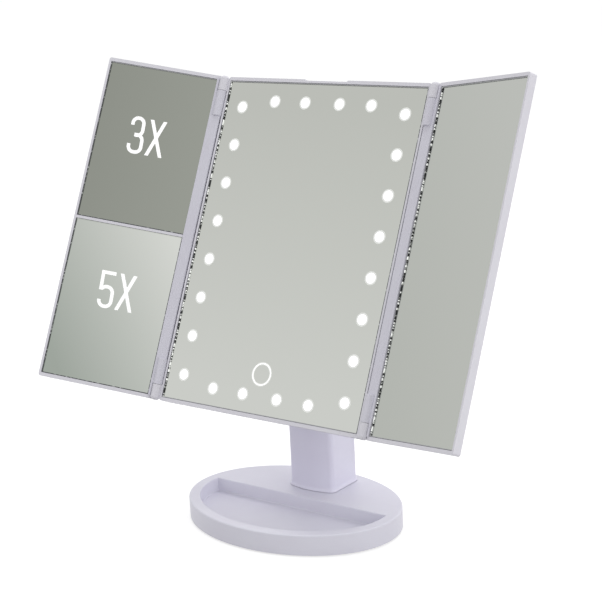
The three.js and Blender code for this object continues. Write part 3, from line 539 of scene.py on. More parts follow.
def oval(inset, z):
    """An oval slab, smaller than the base by an inset."""
    bm = rod("z", 1.0, z, sides=OVAL_SIDES)
    bmesh.ops.scale(bm, vec=(BASE_HALF[0] - inset, BASE_HALF[1] - inset, 1), verts=bm.verts)
    return bm


def half_oval(inset, z, back):
    """The front part of an oval slab, cut off straight at the back."""
    bm = oval(inset, z)
    cut = bmesh.ops.bisect_plane(bm, geom=everything(bm), dist=1e-4, plane_co=(0, back, 0),
                                 plane_no=(0, 1, 0), clear_outer=True)
    rim = [item for item in cut["geom_cut"] if isinstance(item, bmesh.types.BMEdge)]
    bmesh.ops.contextual_create(bm, geom=rim)
    bmesh.ops.recalc_face_normals(bm, faces=bm.faces)
    return bm


def make_base():
    """An oval shell with the tray sunk in its top, its bottom cover and its foam pad."""
    body = soften(oval(0, (BASE_FOOT, BASE_TOP)), 1.2, 5, where=at_height(BASE_TOP))
    tray = soften(half_oval(TRAY_RIM, (TRAY_FLOOR, TRAY_TOOL_TOP), TRAY_BACK), 1.1, 4,
                  where=at_height(TRAY_FLOOR))
    under_tray = half_oval(TRAY_RIM - BASE_WALL, (TRAY_FLOOR - FLOOR_WALL, ROOM_TOOL_TOP),
                           TRAY_BACK + BASE_WALL)
    room = combine(oval(BASE_WALL, (ROOM_FOOT, BASE_TOP - BASE_WALL)), [under_tray])
    inlet = soften(block(*INLET_HOLE), 0.7, 3, where=along("y"))
    body = combine(body, [tray, room, inlet])
    soften(body, 0.7, 3, where=at_height(BASE_TOP))
    soften(body, 0.35, 2, where=at_height(BASE_FOOT))
    finish_piece("base_moulding", body, lavender_abs, "stand", ["base_shell"])
    finish_piece("base_floor", refined("base_bottom", 0.3), lavender_abs, "stand",
                 ["base_bottom"])
    pad = soften(oval(PAD_INSET, (0, PAD_TOP)), 0.3, 2)
    finish_piece("foot_pad", pad, foam_rubber, "stand", ["anti_slip_pad"])


def make_inlet():
    """The socket's folded nickel shell with its contact tongue."""
    low, high = packed_box("power_inlet")
    wall = INLET_WALL
    shell = soften(block((low.x, high.x), (low.y, high.y), (low.z, high.z)), 0.9, 4,
                   where=along("y"))
    hollow = soften(block((low.x + wall, high.x - wall), (low.y + 1, high.y + SHORT_CUT),
                          (low.z + wall, high.z - wall)), 0.6, 3, where=along("y"))
    tongue = soften(block((low.x + 2, high.x - 2), (low.y + 0.8, high.y - 1.2), TONGUE_HEIGHT),
                    0.15)
    finish_piece("inlet_shell", combine(shell, [hollow]), nickel, "stand",
                 ["power_inlet"])
    finish_piece("inlet_tongue", tongue, sheath, "stand")


def cross_screw(size, length):
    """A pan-head screw with a cross recess, head up at z 0 and shank down along z."""
    radius, height, shank_radius = size
    head = soften(rod("z", radius, (-height, 0), sides=32), height * 0.45, 4,
                  where=at_height(0))
    reach, half = radius * 0.62, radius * 0.11
    arms = [block((-x, x), (-y, y), (-height * 0.6, 1))
            for x, y in ((reach, half), (half, reach))]
    shank = rod("z", shank_radius, (-length, -height * 0.7), sides=20)
    return together(combine(head, arms), shank)


def stand_screw(name, node, look, size):
    """A screw in the place of a packed one, its head looking down or back."""
    low, high = packed_box(node)
    at = (low + high) / 2
    if look == "down":
        at.z, length = low.z, high.z - low.z
    else:
        at.y, length = high.y, high.y - low.y
    bm = cross_screw(size, length)
    bmesh.ops.transform(bm, matrix=Matrix.Translation(at) @ SCREW_TURN[look], verts=bm.verts)
    finish_piece(name, bm, zinc_steel, "stand", [node])


# Stem

STEM_HALF = 18.4
STEM_FRONT = 17.8
STEM_BOW = 3.4
STEM_BACK = 49.5
STEM_FOOT = 15.35
STEM_TOP = 166.0
STEM_WALL = 2.0
# How far the foot flares out at each height above its lower edge
STEM_FLARE = {0: 0.95, 0.5: 0.85, 1.1: 0.5, 2.0: 0.2, 3.2: 0.05, 5: 0}
STEM_ROOM = ((-15.5, 15.5), (26, 60), (STEM_FOOT + 2.5, STEM_TOP - STEM_WALL))
# The barrel round the tilt shaft: its radius and half its length
BARREL = 9
# The lid's thumb dip, a cone squeezed to an oval: how far below the lid's upper end, and its
# radius at the dip's floor and at the far end of the cone, as measured from the lid's face
DIP_DROP = 14
DIP_RADII = (15, 19)
DIP_FLOOR = 0.5
DIP_FAR = 4
DIP_SQUEEZE = (0.5, 1, 0.42)
# The lid's grip ribs: half their length and height, and how far below its upper end
RIB_HALF = (6, 0.35)
RIB_DROPS = (18, 16, 14, 12, 10)


def make_stem():
    """A bowed front on flat sides, with a foot that flares by a millimetre."""
    bm = block((-STEM_HALF, STEM_HALF), (STEM_FRONT + STEM_BOW, STEM_BACK),
               (STEM_FOOT, STEM_TOP))
    middle = (STEM_FRONT + STEM_BACK) / 2
    soften(bm, 2.6, 7, where=lambda a, b: along("z")(a, b) and a.y < middle)
    soften(bm, 1, 3, where=lambda a, b: along("z")(a, b) and a.y > middle)
    slice_up(bm, "x", [STEM_HALF * (step / 10 - 1) for step in range(1, 20)])
    slice_up(bm, "z", [STEM_FOOT + rise for rise in list(STEM_FLARE)[1:]])
    for vert in bm.verts:
        if vert.co.y < middle:
            vert.co.y -= STEM_BOW * max(0, 1 - (vert.co.x / STEM_HALF) ** 2)
        for rise, out in STEM_FLARE.items():
            if abs(vert.co.z - STEM_FOOT - rise) < 0.01:
                vert.co.x *= 1 + out / STEM_HALF
                vert.co.y = middle + (vert.co.y - middle) * (1 + out / (STEM_BACK - middle))
    soften(bm, 0.9, 4, 60, where=at_height(STEM_TOP))
    bm = combine(bm, [block(*STEM_ROOM)])
    neck = block((-BARREL, BARREL), (PIVOT[1] - BARREL, PIVOT[1] + BARREL),
                 (STEM_TOP - 1, PIVOT[2]))
    barrel = soften(rod("x", BARREL, (-BARREL, BARREL), PIVOT[1:], 64), 0.4, 2, 60)
    finish_piece("stem_moulding", together(bm, neck, barrel), stem_abs_painted_shade, "stand",
                 ["stem_shell"])
    finish_piece("stem_back", refined("stem_rear_cover", 0.25), stem_abs_painted_shade, "stand",
                 ["stem_rear_cover"])


def make_battery_lid():
    """A plain lid with a thumb dip and grip ribs near its upper end."""
    low, high = packed_box("battery_door")
    lid = block((low.x, high.x), (low.y, high.y), (low.z, high.z))
    dip = rod("y", DIP_RADII[0], (high.y - DIP_FLOOR, high.y + DIP_FAR),
              (0, high.z - DIP_DROP), 64, far_radius=DIP_RADII[1])
    bmesh.ops.scale(dip, vec=DIP_SQUEEZE, verts=dip.verts,
                    space=Matrix.Translation((0, 0, DIP_DROP - high.z)))
    lid = combine(soften(lid, 0.3, 2), [dip])
    length, height = RIB_HALF
    ribs = [soften(block((-length, length), (high.y - 0.8, high.y - 0.05),
                         (high.z - drop - height, high.z - drop + height)), 0.25, 3)
            for drop in RIB_DROPS]
    finish_piece("battery_lid", together(lid, *ribs), stem_abs_painted_shade, "battery_door",
                 ["battery_door"])


# Head

PANEL_HALF = 82.8
PANEL_TOP = 115.9
PANEL_CORNER = 1.6
BEZEL_DEPTH = 6.4
THROUGH = (FRONT - OVERCUT, FRONT + 12)
# The notch in the frame's upper edge: half its width and its depth
NOTCH = (17.5, 0.9)
# The pocket for the glass: its half sizes, its depth and the ledge that carries the glass
POCKET = (81.3, 113.4)
POCKET_DEPTH = 2.9
LEDGE = 3.8
GLASS = (81.05, 113.15)
GLASS_FACE = FRONT + 0.3
GLASS_THICKNESS = 2
# The silver behind the face, and the flat rim that is seen around it
SILVER_DEPTH = 0.95
SILVER = GLASS_FACE + SILVER_DEPTH
RIM_WIDTH = 0.4
# The light windows: their radius and the dim margin round each, the two columns (distance
# from the middle, foot and length) and the two rows (heights, and places across)
WINDOW_RADIUS = 3.5
MARGIN = 1.1
COLUMN_X = 66.9
COLUMN_FOOT = -95.4
COLUMN_LENGTH = 190.3
ROW_HEIGHTS = (-101.2, 99.7)
ROW_PLACES = (-39.6, -14.1, 14.1, 39.6)
# The light guide behind the glass: its half sizes and its depth behind the face
GUIDE_HALF = (76.7, 109)
GUIDE_DEPTH = (2.3, 3.8)
# The touch key's mark: its middle, its outer and inner radius and its dim margin
TOUCH_SPOT = (-2.0, -86.3)
TOUCH_RING = (7.6, 6.8)
TOUCH_MARGIN = 0.6
# How far the lit pieces stand out of the silver
STUD_RISE = 0.06
MARGIN_RISE = 0.03
RING_RISE = 0.05
RING_MARGIN_RISE = 0.02
# The hinge: its knuckles' radius, the seam between a fixed and a moving one, the fixed one's
# far end, how far it is rooted in the panel, and the rib that closes the gap behind it
KNUCKLE = 3.3
SEAM = 105.5
KNUCKLE_END = PANEL_TOP + 0.4
ROOT = 0.5
RIB_SIDE = HINGE_X - 0.6
RIB_DEPTH = (HINGE_Y + KNUCKLE + 0.4, FRONT + 6.3)
RIB_END = PANEL_TOP - 12
# The rear cover: its faces, its wall, and the bores for its screws (their distance from the
# edges, radius and depth)
COVER_FACE = FRONT + 6.7
COVER_BACK = FRONT + 11
COVER_WALL = 2
BORE_INSET = 7.5
BORE_RADIUS = 2.15
BORE_DEPTH = 1.4
# The lugs on the tilt shaft: their sides, radius, shaft hole and the well for the nut
LUG_SIDES = (10.6, 15.6)
LUG_RADIUS = 9
SHAFT_HOLE = 3.3
WELL_RADIUS = 5.4
WELL_SIDES = (12.2, 20)
# The caps on the lugs, with a plug each that holds them in the well
CAP_RADIUS = 8.6
CAP_SIDES = (15.9, 16.9)
PLUG_RADIUS = 5
PLUG_SIDES = (14.9, 16.2)


def light_spots():
    """Middles of the 24 light windows: two columns of eight and two rows of four."""
    columns = [(side * COLUMN_X, COLUMN_FOOT + step * COLUMN_LENGTH / 7)
               for side in (-1, 1) for step in range(8)]
    rows = [(x, z) for z in ROW_HEIGHTS for x in ROW_PLACES]
    return columns + rows


def make_bezel():
    """The centre panel's frame with its hinge knuckles, and the ribs behind the hinges."""
    half, top = PANEL_HALF, PANEL_TOP
    bezel = block((-half, half), (FRONT, FRONT + BEZEL_DEPTH), (-top, top))
    soften(bezel, PANEL_CORNER, 5, where=along("y"))
    notch = block((-NOTCH[0], NOTCH[0]), THROUGH, (top - NOTCH[1], top + OVERCUT))
    soften(notch, 0.8, 4, where=lambda a, b: along("y")(a, b) and a.z < top)
    pocket = block((-POCKET[0], POCKET[0]), (FRONT - OVERCUT, FRONT + POCKET_DEPTH),
                   (-POCKET[1], POCKET[1]))
    window = block((-POCKET[0] + LEDGE, POCKET[0] - LEDGE), THROUGH,
                   (-POCKET[1] + LEDGE, POCKET[1] - LEDGE))
    bezel = combine(bezel, [notch, pocket, window])
    soften(bezel, 0.4, 3, where=at_depth(FRONT))
    ears = []
    for side in (-1, 1):
        for end in (-1, 1):
            ear = rod("z", KNUCKLE, mirrored(end, SEAM, KNUCKLE_END), (side * HINGE_X, HINGE_Y),
                      40)
            soften(ear, 2.4, 6, where=at_height(end * KNUCKLE_END))
            soften(ear, 0.15, 2, where=at_height(end * SEAM))
            web = block(mirrored(side, half - ROOT, HINGE_X), (FRONT, HINGE_Y + KNUCKLE),
                        mirrored(end, SEAM, top - 1))
            ears += [ear, soften(web, 0.3, 2)]
        rib = block(mirrored(side, half - ROOT, RIB_SIDE), RIB_DEPTH, (-RIB_END, RIB_END))
        ears.append(soften(rib, 0.3, 2))
    finish_piece("bezel_moulding", together(bezel, *ears), panel_abs_painted_shade, "head",
                 ["centre_bezel"], HEAD_FRAME)


def make_head_back():
    """The rear half of the centre panel with the two lugs that hold the tilt shaft."""
    half, top, wall = PANEL_HALF, PANEL_TOP, COVER_WALL
    cover = block((-half, half), (COVER_FACE, COVER_BACK), (-top, top))
    soften(cover, PANEL_CORNER, 5, where=along("y"))
    soften(cover, 1.2, 5, where=at_depth(COVER_BACK))
    room = block((-half + wall, half - wall), (COVER_FACE - OVERCUT, COVER_BACK - wall),
                 (-top + wall, top - wall))
    spots = [(sx * (half - BORE_INSET), sz * (top - BORE_INSET))
             for sx in (-1, 1) for sz in (-1, 1)]
    bores = [rod("y", BORE_RADIUS, (COVER_BACK - BORE_DEPTH, COVER_BACK + OVERCUT), at, 32)
             for at in spots]
    cover = combine(cover, [room, *bores])
    lugs = []
    for side in (-1, 1):
        span = mirrored(side, *LUG_SIDES)
        lug = combine(rod("x", LUG_RADIUS, span, sides=64),
                      [block(span, (COVER_BACK - 1.5, 0), (-LUG_RADIUS, LUG_RADIUS))], "UNION")
        lug = combine(lug, [rod("x", SHAFT_HOLE, (-30, 30), sides=32),
                            rod("x", WELL_RADIUS, mirrored(side, *WELL_SIDES))])
        lugs.append(soften(lug, 0.4, 2, 50))
    finish_piece("head_back", together(cover, *lugs), panel_abs_painted_shade, "head",
                 ["head_rear_cover"], HEAD_FRAME)
    for side, name in ((-1, "left"), (1, "right")):
        cap = rod("x", CAP_RADIUS, mirrored(side, *CAP_SIDES), sides=64)
        soften(cap, 0.5, 4, where=level_with("x", side * CAP_SIDES[1]))
        plug = rod("x", PLUG_RADIUS, mirrored(side, *PLUG_SIDES), sides=40)
        finish_piece(f"tilt_cap_{name}", together(cap, plug), panel_abs_painted_shade, "head",
                     [f"hinge_cap_{name}"], HEAD_FRAME)
    for number, (x, z) in enumerate(spots, 1):
        bm = cross_screw(PANEL_SCREW, PANEL_SCREW_LENGTH)
        place = Matrix.Translation((x, COVER_BACK - 0.3, z)) @ SCREW_TURN["back"]
        bmesh.ops.transform(bm, matrix=place, verts=bm.verts)
        finish_piece(f"panel_screw_{number}", bm, zinc_steel, "head",
                     [f"head_screw_{number}"], HEAD_FRAME)


def sheet(x, y, z, depth, cuts=0, dish=None):
    """Back-silvered glass: the silver shows as a plane some way behind the face, and the
    ground rim of the sheet stands around it. A dish gives the silver's hollow at (x, z)."""
    bm = block(x, y, z)
    front = [face for face in bm.faces if face.normal.y < -0.5]
    for thickness, sunk in ((RIM_WIDTH, 0), (0.01, -depth)):
        bmesh.ops.inset_region(bm, faces=front, thickness=thickness, depth=sunk,
                               use_even_offset=True)
    if cuts:
        bmesh.ops.subdivide_edges(bm, edges=list({e for f in front for e in f.edges}),
                                  cuts=cuts, use_grid_fill=True)
    for vert in bm.verts:
        if dish and abs(vert.co.y - y[0] - depth) < 1e-3:
            vert.co.y += dish(vert.co.x, vert.co.z)
    return bm


SHEET_FINISH = {"silver": 0, "chips": 1, "paint": 2, "dull": 3}


# Paint on the top and foot rims is edging paint that is also painted shade for the gap line
# there
def mark_sheet(bm, x, y, z, low="dull", high="dull", top="paint", foot="paint"):
    """Sets the finishes of a sheet: silver on the sunk plane, chips on the walls beside it,
    and on the flat rims at low x, high x, the top and the foot what is told."""
    near = 0.02
    bm.normal_update()
    for face in bm.faces:
        middle = face.calc_center_median()
        reach_x = (middle.x - x[0], x[1] - middle.x)
        reach_z = (middle.z - z[0], z[1] - middle.z)
        inward = min(*reach_x, *reach_z)
        if middle.y > y[1] - near or inward < near:
            finish = "paint"
        elif inward > RIM_WIDTH + 0.1 and middle.y > y[0] + 0.3:
            finish = "silver"
        elif min(reach_x) > min(reach_z):
            finish = top if reach_z[1] < reach_z[0] else foot
        elif abs(face.normal.x) > 0.5:
            finish = "chips" if reach_x[0] < reach_x[1] else high
        else:
            finish = low if reach_x[0] < reach_x[1] else high
        face.material_index = SHEET_FINISH[finish]
    return bm


def touch_band(outer, inner, rise):
    """A flat ring at the touch key, standing a little out of the silver."""
    return combine(rod("y", outer, (SILVER - rise, SILVER + 0.15), TOUCH_SPOT, 64),
                   [rod("y", inner, (SILVER - SHORT_CUT, SILVER + 2 * SHORT_CUT), TOUCH_SPOT,
                        64)])


def make_centre_glass():
    """The centre mirror, the light guide with its studs, and the touch key's mark."""
    span = ((-GLASS[0], GLASS[0]), (GLASS_FACE, GLASS_FACE + GLASS_THICKNESS),
            (-GLASS[1], GLASS[1]))
    bm = sheet(*span, SILVER_DEPTH)
    through = (GLASS_FACE - SHORT_CUT, GLASS_FACE + 2 * SHORT_CUT)
    holes = [rod("y", WINDOW_RADIUS + 0.02, through, at, 40) for at in light_spots()]
    bm = combine(bm, [together(*holes)])
    slice_up(bm, "x", [side * (GLASS[0] - RIM_WIDTH) for side in (-1, 1)])
    slice_up(bm, "z", [end * (GLASS[1] - RIM_WIDTH) for end in (-1, 1)])
    finish_piece("centre_glass", mark_sheet(bm, *span),
                 [centre_silver_painted_reflection, glass_edge_painted_glints, edge_paint_and_shade, dull_edge_painted_glints], "head",
                 ["centre_mirror"], HEAD_FRAME)

    guide = block((-GUIDE_HALF[0], GUIDE_HALF[0]),
                  (GLASS_FACE + GUIDE_DEPTH[0], GLASS_FACE + GUIDE_DEPTH[1]),
                  (-GUIDE_HALF[1], GUIDE_HALF[1]))
    face = SILVER - STUD_RISE
    studs = [soften(rod("y", WINDOW_RADIUS, (face, GLASS_FACE + 3), at, 40), 0.05, 2, 60,
                    where=at_depth(face)) for at in light_spots()]
    margins = [in_finish(rod("y", WINDOW_RADIUS + MARGIN, (SILVER - MARGIN_RISE, SILVER + 0.1),
                             at, 40), 1) for at in light_spots()]
    finish_piece("light_windows", together(guide, *studs, *margins),
                 [window_acrylic, etched_silver], "head",
                 ["light_diffuser"], HEAD_FRAME)

    outer, inner = TOUCH_RING
    ring = touch_band(outer, inner, RING_RISE)
    margin = in_finish(touch_band(outer + TOUCH_MARGIN, inner - TOUCH_MARGIN,
                                  RING_MARGIN_RISE), 1)
    finish_piece("touch_mark", together(ring, margin), [ring_ink, etched_silver], "head",
                 ["touch_ring"], HEAD_FRAME)


# Wings: x runs from the hinge line across the panel, y from its front to its back

WING_EDGE = 2.2
WING_REACH = 85.75
WING_FACE = 0.4
WING_BACK = 6.4
WING_GLASS = (5.6, 83.9)
GLASS_PLAY = 0.25
WING_POCKET = (WING_GLASS[0] - GLASS_PLAY, WING_GLASS[1] + GLASS_PLAY)
WING_POCKET_DEPTH = 2.8
# The tools that cut through a wing: their depth, and how far up those at the knuckles end
WING_THROUGH = (-5, 12)
WING_CUT_END = 120
WING_GLASS_SPAN = (WING_FACE + 0.3, WING_FACE + 2.3)
WING_SILVER_DEPTH = 0.8
# The window behind each mirror: its span in x, and how far in from the pocket's ends
WING_WINDOW = (10, 79.5)
WINDOW_INSET = 4.4
# The seat of the back panel, and the panel in it: spans in x, thickness and half the height
BACK_SEAT = ((5, 84), 1.7, 114)
BACK_PANEL = ((5.3, 83.7), 1.4, 113.7)
# The divider between the two magnifying mirrors, and how deep their silver is dished
DIVIDER = (-1.6, 0.3)
DISH = {"3x": 0.6, "5x": 0.8}
LENS_CUTS = 24
# The strip on the hinge line: half its width and length, its front, the rounding of its
# free corners, and where the slope towards the mirror starts and ends
STRIP = 2.75
STRIP_END = 87.3
STRIP_FACE = -1.6
STRIP_CORNER = 1.2
STRIP_SLOPE = (0.2, 3.7)
SLOPE_BACK = 1.5
# The low rail between the strip and the mirror: its front and back, where it starts between
# the fixed knuckles and past them, and the end of the first stretch
RAIL_DEPTH = (-0.3, 2)
RAIL_START = 3
RAIL_START_PAST = 3.65
RAIL_END = 105
# The knuckles: the panel's play round the fixed ones, where the moving ones meet the strip
# and the seam, and the web that ties them to the panel
KNUCKLE_PLAY = 0.3
KNUCKLE_START = 87.2
KNUCKLE_SEAM = SEAM - 0.16
WEB = ((1.5, 4), (WING_FACE, 3))


def dish_depth(sag, x, z, span_x, span_z):
    """How deep a dish of a sag in the middle is at (x, z)."""
    across = (2 * x - span_x[0] - span_x[1]) / (span_x[1] - span_x[0])
    up = (2 * z - span_z[0] - span_z[1]) / (span_z[1] - span_z[0])
    return sag * max(0, 1 - across ** 2) * max(0, 1 - up ** 2)


def make_plate(x, pockets):
    """A wing's thin panel with a pocket for each mirror and a seat for its back."""
    plate = block(x(WING_EDGE, WING_REACH), (WING_FACE, WING_BACK), (-PANEL_TOP, PANEL_TOP))
    soften(plate, PANEL_CORNER, 5,
           where=lambda a, b: along("y")(a, b) and abs(a.x) > WING_REACH / 2)
    tools = [rod("z", KNUCKLE + KNUCKLE_PLAY,
                 mirrored(end, SEAM - KNUCKLE_PLAY, WING_CUT_END), sides=40)
             for end in (-1, 1)]
    front, rear = WING_THROUGH
    for low, high in pockets:
        tools.append(block(x(*WING_POCKET), (front, WING_FACE + WING_POCKET_DEPTH), (low, high)))
        tools.append(block(x(*WING_WINDOW), (front, rear),
                           (low + WINDOW_INSET, high - WINDOW_INSET)))
    across, thickness, height = BACK_SEAT
    tools.append(block(x(*across), (WING_BACK - thickness, rear), (-height, height)))
    plate = combine(plate, tools)
    soften(plate, 0.5, 3, 50, where=at_depth(WING_FACE))
    return soften(plate, 0.4, 2, 50, where=at_depth(WING_BACK))


def make_strip(x, sign):
    """The bar on the hinge line: flat in front, sloped towards the mirror."""
    strip = block(x(-STRIP, STRIP_SLOPE[1]), (STRIP_FACE, STRIP), (-STRIP_END, STRIP_END))
    slice_up(strip, "x", [sign * STRIP_SLOPE[0]])
    for vert in strip.verts:
        if sign * vert.co.x > STRIP_SLOPE[1] - 0.01:
            vert.co.y = RAIL_DEPTH[0] + 0.05 if vert.co.y < 0 else SLOPE_BACK
    soften(strip, STRIP_CORNER, 6, 50, where=lambda a, b: along("z")(a, b) and sign * a.x < 0)
    return soften(strip, 0.3, 2, 60)


def make_rail(x):
    past = PANEL_TOP - 2
    rail = combine(block(x(RAIL_START, WING_POCKET[0]), RAIL_DEPTH, (-RAIL_END, RAIL_END)),
                   [block(x(RAIL_START_PAST, WING_POCKET[0]), RAIL_DEPTH, (-past, past))],
                   "UNION")
    return soften(rail, 0.2, 3)


def make_knuckles(x):
    """The moving knuckles at both ends of the strip, with their webs."""
    knuckles = []
    for end in (-1, 1):
        span = mirrored(end, KNUCKLE_START, KNUCKLE_SEAM)
        knuckle = rod("z", KNUCKLE, span, sides=40)
        soften(knuckle, 0.4, 3, where=at_height(end * KNUCKLE_START))
        soften(knuckle, 0.15, 2, where=at_height(end * KNUCKLE_SEAM))
        across, depth = WEB
        knuckles += [knuckle, soften(block(x(*across), depth, span), 0.3, 2)]
    return knuckles


def wing_frame(side, sign, pockets):
    """A wing's panel with its half of the hinge, and the back that closes it."""
    def x(*ends):
        return mirrored(sign, *ends)

    plate = make_plate(x, pockets)
    # The hinge parts take the second finish, the deeper ABS that is painted shade
    hinge = [in_finish(part, 1) for part in (make_strip(x, sign), make_rail(x),
                                             *make_knuckles(x))]
    finish_piece(f"{side}_wing_moulding", together(plate, *hinge), [panel_abs_painted_shade, hinge_abs_painted_shade],
                 f"{side}_wing", [f"{side}_wing_frame"], WING_FRAME[side])
    across, thickness, height = BACK_PANEL
    face = WING_BACK - 0.02
    back = block(x(*across), (WING_BACK - thickness, face), (-height, height))
    finish_piece(f"{side}_wing_panel", soften(back, 0.3, 2, where=at_depth(face)), panel_abs_painted_shade,
                 f"{side}_wing", [f"{side}_wing_back"], WING_FRAME[side])


def make_lens(name, node, silver, sag, span_z, **rims):
    """A magnifying sheet, its silver dished behind a flat face; returns the silver's depth
    at (x, z)."""
    span = (-WING_GLASS[1], -WING_GLASS[0]), WING_GLASS_SPAN, span_z

    def hollow(x, z):
        return dish_depth(sag, x, z, span[0], span_z)

    bm = mark_sheet(sheet(*span, WING_SILVER_DEPTH, LENS_CUTS, hollow), *span, **rims)
    finish_piece(name, bm, [silver, dull_edge_painted_glints, edge_paint_and_shade, dull_edge_painted_glints], "left_wing",
                 [node], WING_FRAME["left"])
    return lambda x, z: WING_GLASS_SPAN[0] + WING_SILVER_DEPTH + hollow(x, z)


# Printed figures: outlines from each figure's lower left corner, the depth of their solids
# and of the tools that cut them, how far the ink stands out, and the prints' places

STROKE = 2.5
FIGURE_HEIGHT = 26.6
FIGURE_LEAN = -0.04
SLICE = 1.45
SOLID = (-1, 1)
CUT = (-2, 2)
INK_FACE = 0.1
INK_BACK = 0.05
PRINT_3X = (-60.3, 50.7)
PRINT_5X = (-56.8, -60.7)


def hoop(x, z, radius):
    """A band with round corners, one stroke wide."""
    outer = soften(block(x, SOLID, z), radius, 8, where=along("y"))
    inner = block((x[0] + STROKE, x[1] - STROKE), CUT, (z[0] + STROKE, z[1] - STROKE))
    return combine(outer, [soften(inner, radius - STROKE, 8, where=along("y"))])


def slanted(foot, head):
    """A straight stroke, cut level at its ends."""
    bm = block((-1.35, 1.35), SOLID, (0.3, FIGURE_HEIGHT - 0.4))
    for vert in bm.verts:
        vert.co.x += foot + (head - foot) * vert.co.z / FIGURE_HEIGHT
    return bm


def letter_x(middle):
    return combine(slanted(middle - 5.2, middle + 5.0), [slanted(middle + 5.2, middle - 5.0)],
                   "UNION")


def figure_three():
    bowls = combine(hoop((0, 11.6), (0, 15), 5.2), [hoop((0.4, 10.9), (12.1, 27), 5.2)], "UNION")
    return combine(bowls, [block((-1, 4.1), CUT, (6.8, 20.3))])


def figure_five():
    top = FIGURE_HEIGHT - 0.3
    bowl = combine(hoop((0, 11.3), (0, 16.4), 5.4), [block((-1, 3.4), CUT, (5.7, 12.6))])
    return combine(bowl, [block((0, STROKE), SOLID, (12.4, top)),
                          block((0, 10.6), SOLID, (top - STROKE, top))], "UNION")


def make_print(name, glyphs, at, surface):
    """Screen-printed figures that follow the dished silver."""
    bm = together(*glyphs)
    bmesh.ops.translate(bm, vec=(at[0], 0, at[1]), verts=bm.verts)
    slice_up(bm, "z", [at[1] + step * SLICE for step in range(1, 19)])
    for vert in bm.verts:
        vert.co.x += FIGURE_LEAN * (vert.co.z - at[1] - FIGURE_HEIGHT / 2)
        rise = INK_FACE if vert.co.y < 0 else INK_BACK
        vert.co.y = surface(vert.co.x, vert.co.z) - rise
    finish_piece(name, bm, white_ink_painted_glow, "left_wing", place=WING_FRAME["left"])


def make_wings():
    """Both wings: two magnifying mirrors on the left, a plain one on the right."""
    wing_frame("left", -1, [(-POCKET[1], DIVIDER[0]), (DIVIDER[1], POCKET[1])])
    wing_frame("right", 1, [(-POCKET[1], POCKET[1])])
    upper = make_lens("lens_glass_3x", "mirror_3x", lens_silver_3x_painted_reflection, DISH["3x"],
                      (DIVIDER[1] + GLASS_PLAY, GLASS[1]), high="silver", foot="dull")
    lower = make_lens("lens_glass_5x", "mirror_5x", lens_silver_5x_painted_reflection, DISH["5x"],
                      (-GLASS[1], DIVIDER[0] - GLASS_PLAY), top="silver", foot="dull")
    make_print("print_3x", [figure_three(), letter_x(20.2)], PRINT_3X, upper)
    make_print("print_5x", [figure_five(), letter_x(19.8)], PRINT_5X, lower)
    span = WING_GLASS, WING_GLASS_SPAN, (-GLASS[1], GLASS[1])
    glass = mark_sheet(sheet(*span, WING_SILVER_DEPTH), *span, low="paint", high="silver")
    finish_piece("right_glass", glass, [right_silver_painted_reflection, glass_edge_painted_glints, edge_paint_and_shade, dull_edge_painted_glints],
                 "right_wing", ["right_mirror"], WING_FRAME["right"])


make_base()
make_stem()
make_battery_lid()
make_bezel()
make_head_back()
make_centre_glass()
make_wings()
for number in range(1, 5):
    stand_screw(f"floor_screw_{number}", f"base_screw_{number}", "down", SMALL_SCREW)
for number in (1, 2):
    stand_screw(f"foot_screw_{number}", f"stem_screw_{number}", "down", STEM_SCREW)
    stand_screw(f"stem_back_screw_{number}", f"rear_cover_screw_{number}", "back",
                SMALL_SCREW)
make_inlet()

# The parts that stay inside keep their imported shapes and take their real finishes
PINS = [f"hinge_pin_{side}_{end}" for side in ("left", "right") for end in ("top", "bottom")]
FINISHES = [
    (iron, ["ballast_plate"]),
    (green_mask, ["power_board", "touch_board"]),
    (white_mask, ["led_board"]),
    (nickel, ["contact_spring_left", "contact_spring_right", "contact_bridge"]),
    (sheath, ["stem_lead"]),
    (zinc_steel, ["tilt_shaft", "tilt_nut", *PINS]),
    (nylon, ["friction_washer_left", "friction_washer_right"]),
    (sleeve, [f"cell_{number}" for number in range(1, 5)]),
]
for finish, hidden in FINISHES:
    for node in hidden:
        nodes[node].data.materials.clear()
        nodes[node].data.materials.append(finish)


# Studio: places and sizes in metres

# The world's light on surfaces, and the paper's own that brings its shade back to white
WORLD_LEVEL = 0.7
FLOOR_LIFT = 0.68
FLOOR_SIZE = 6.0
FLOOR_HEIGHT = -0.0004
FIBRE_SIZE = 3
LAMP_SIZE = 1.2
LAMP_AIM = Vector((0, 0, 0.15))
# Each softbox's place and its part of a plain light level
LAMPS = {
    "top_softbox": ((-0.2, 0.5, 1.9), 0.38),
    "side_softbox": ((1.8, -0.2, 0.5), 0.33),
    "front_softbox": ((-1.3, -1.3, 0.5), 0.12),
}


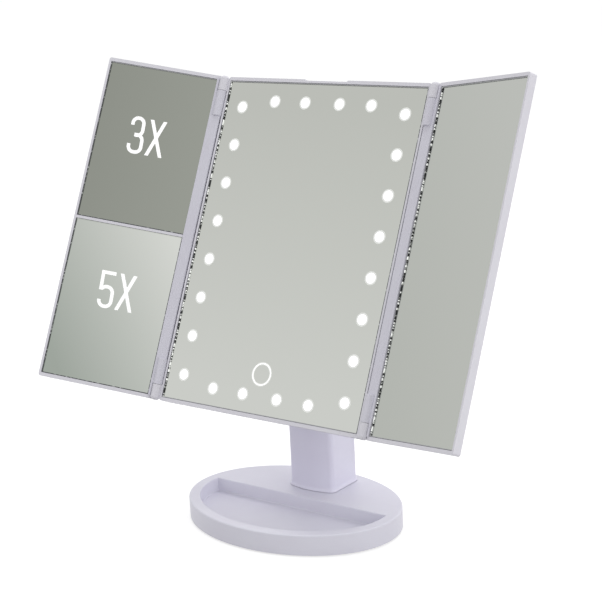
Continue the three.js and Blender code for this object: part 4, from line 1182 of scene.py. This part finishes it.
def seen_directly(tree):
    """1 for rays that show the background: straight, by reflection or through glass."""
    path = add(tree, "LightPath")
    glossy = add(tree, "Math", {0: path.outputs["Is Camera Ray"],
                                1: path.outputs["Is Glossy Ray"]}, operation="MAXIMUM")
    return add(tree, "Math", {0: glossy.outputs[0], 1: path.outputs["Is Transmission Ray"]},
               operation="MAXIMUM").outputs[0]


def make_world():
    """A plain white surrounding that lights less than it shows."""
    world = bpy.data.worlds.new("white_studio")
    bpy.context.scene.world = world
    world.use_nodes = True
    tree = world.node_tree
    tree.nodes.clear()
    level = spread(tree, seen_directly(tree), 0, 1, WORLD_LEVEL, 1.0)
    light = add(tree, "Background", {"Color": (1, 1, 1, 1), "Strength": level})
    add(tree, "OutputWorld", {"Surface": light.outputs[0]})


def make_floor():
    """Matt pale paper that shows as pure white and keeps the object's shadow."""
    paper, tree, at = new_material("matt_pale_paper")
    fibre = noise(tree, at, FIBRE_SIZE, 2.0)
    close(tree, {
        "Base Color": two_tone(tree, fibre, "b4b4b4", "bababa"),
        "Roughness": 1.0,
        "Specular IOR Level": 0.0,
        "Emission Color": (1, 1, 1, 1),
        "Emission Strength": spread(tree, seen_directly(tree), 0, 1, 0, FLOOR_LIFT),
    })
    bm = bmesh.new()
    bmesh.ops.create_grid(bm, x_segments=1, y_segments=1, size=FLOOR_SIZE,
                          matrix=Matrix.Translation((0, 0, FLOOR_HEIGHT)))
    mesh = bpy.data.meshes.new("studio_floor")
    bm.to_mesh(mesh)
    bm.free()
    mesh.materials.append(paper)
    floor = bpy.data.objects.new("studio_floor", mesh)
    bpy.context.scene.collection.objects.link(floor)


def make_lamp(name, place, share):
    """A square softbox aimed at the object, left out of its reflections."""
    data = bpy.data.lights.new(name, "AREA")
    data.size = LAMP_SIZE
    spot = Vector(place)
    data.energy = share * math.pi ** 2 * (spot - LAMP_AIM).length_squared
    lamp = bpy.data.objects.new(name, data)
    lamp.matrix_world = Matrix.Translation(spot) @ (spot - LAMP_AIM).to_track_quat(
        "Z", "Y").to_matrix().to_4x4()
    lamp.visible_glossy = False
    bpy.context.scene.collection.objects.link(lamp)


make_world()
make_floor()
for lamp_name, (lamp_place, lamp_share) in LAMPS.items():
    make_lamp(lamp_name, lamp_place, lamp_share)
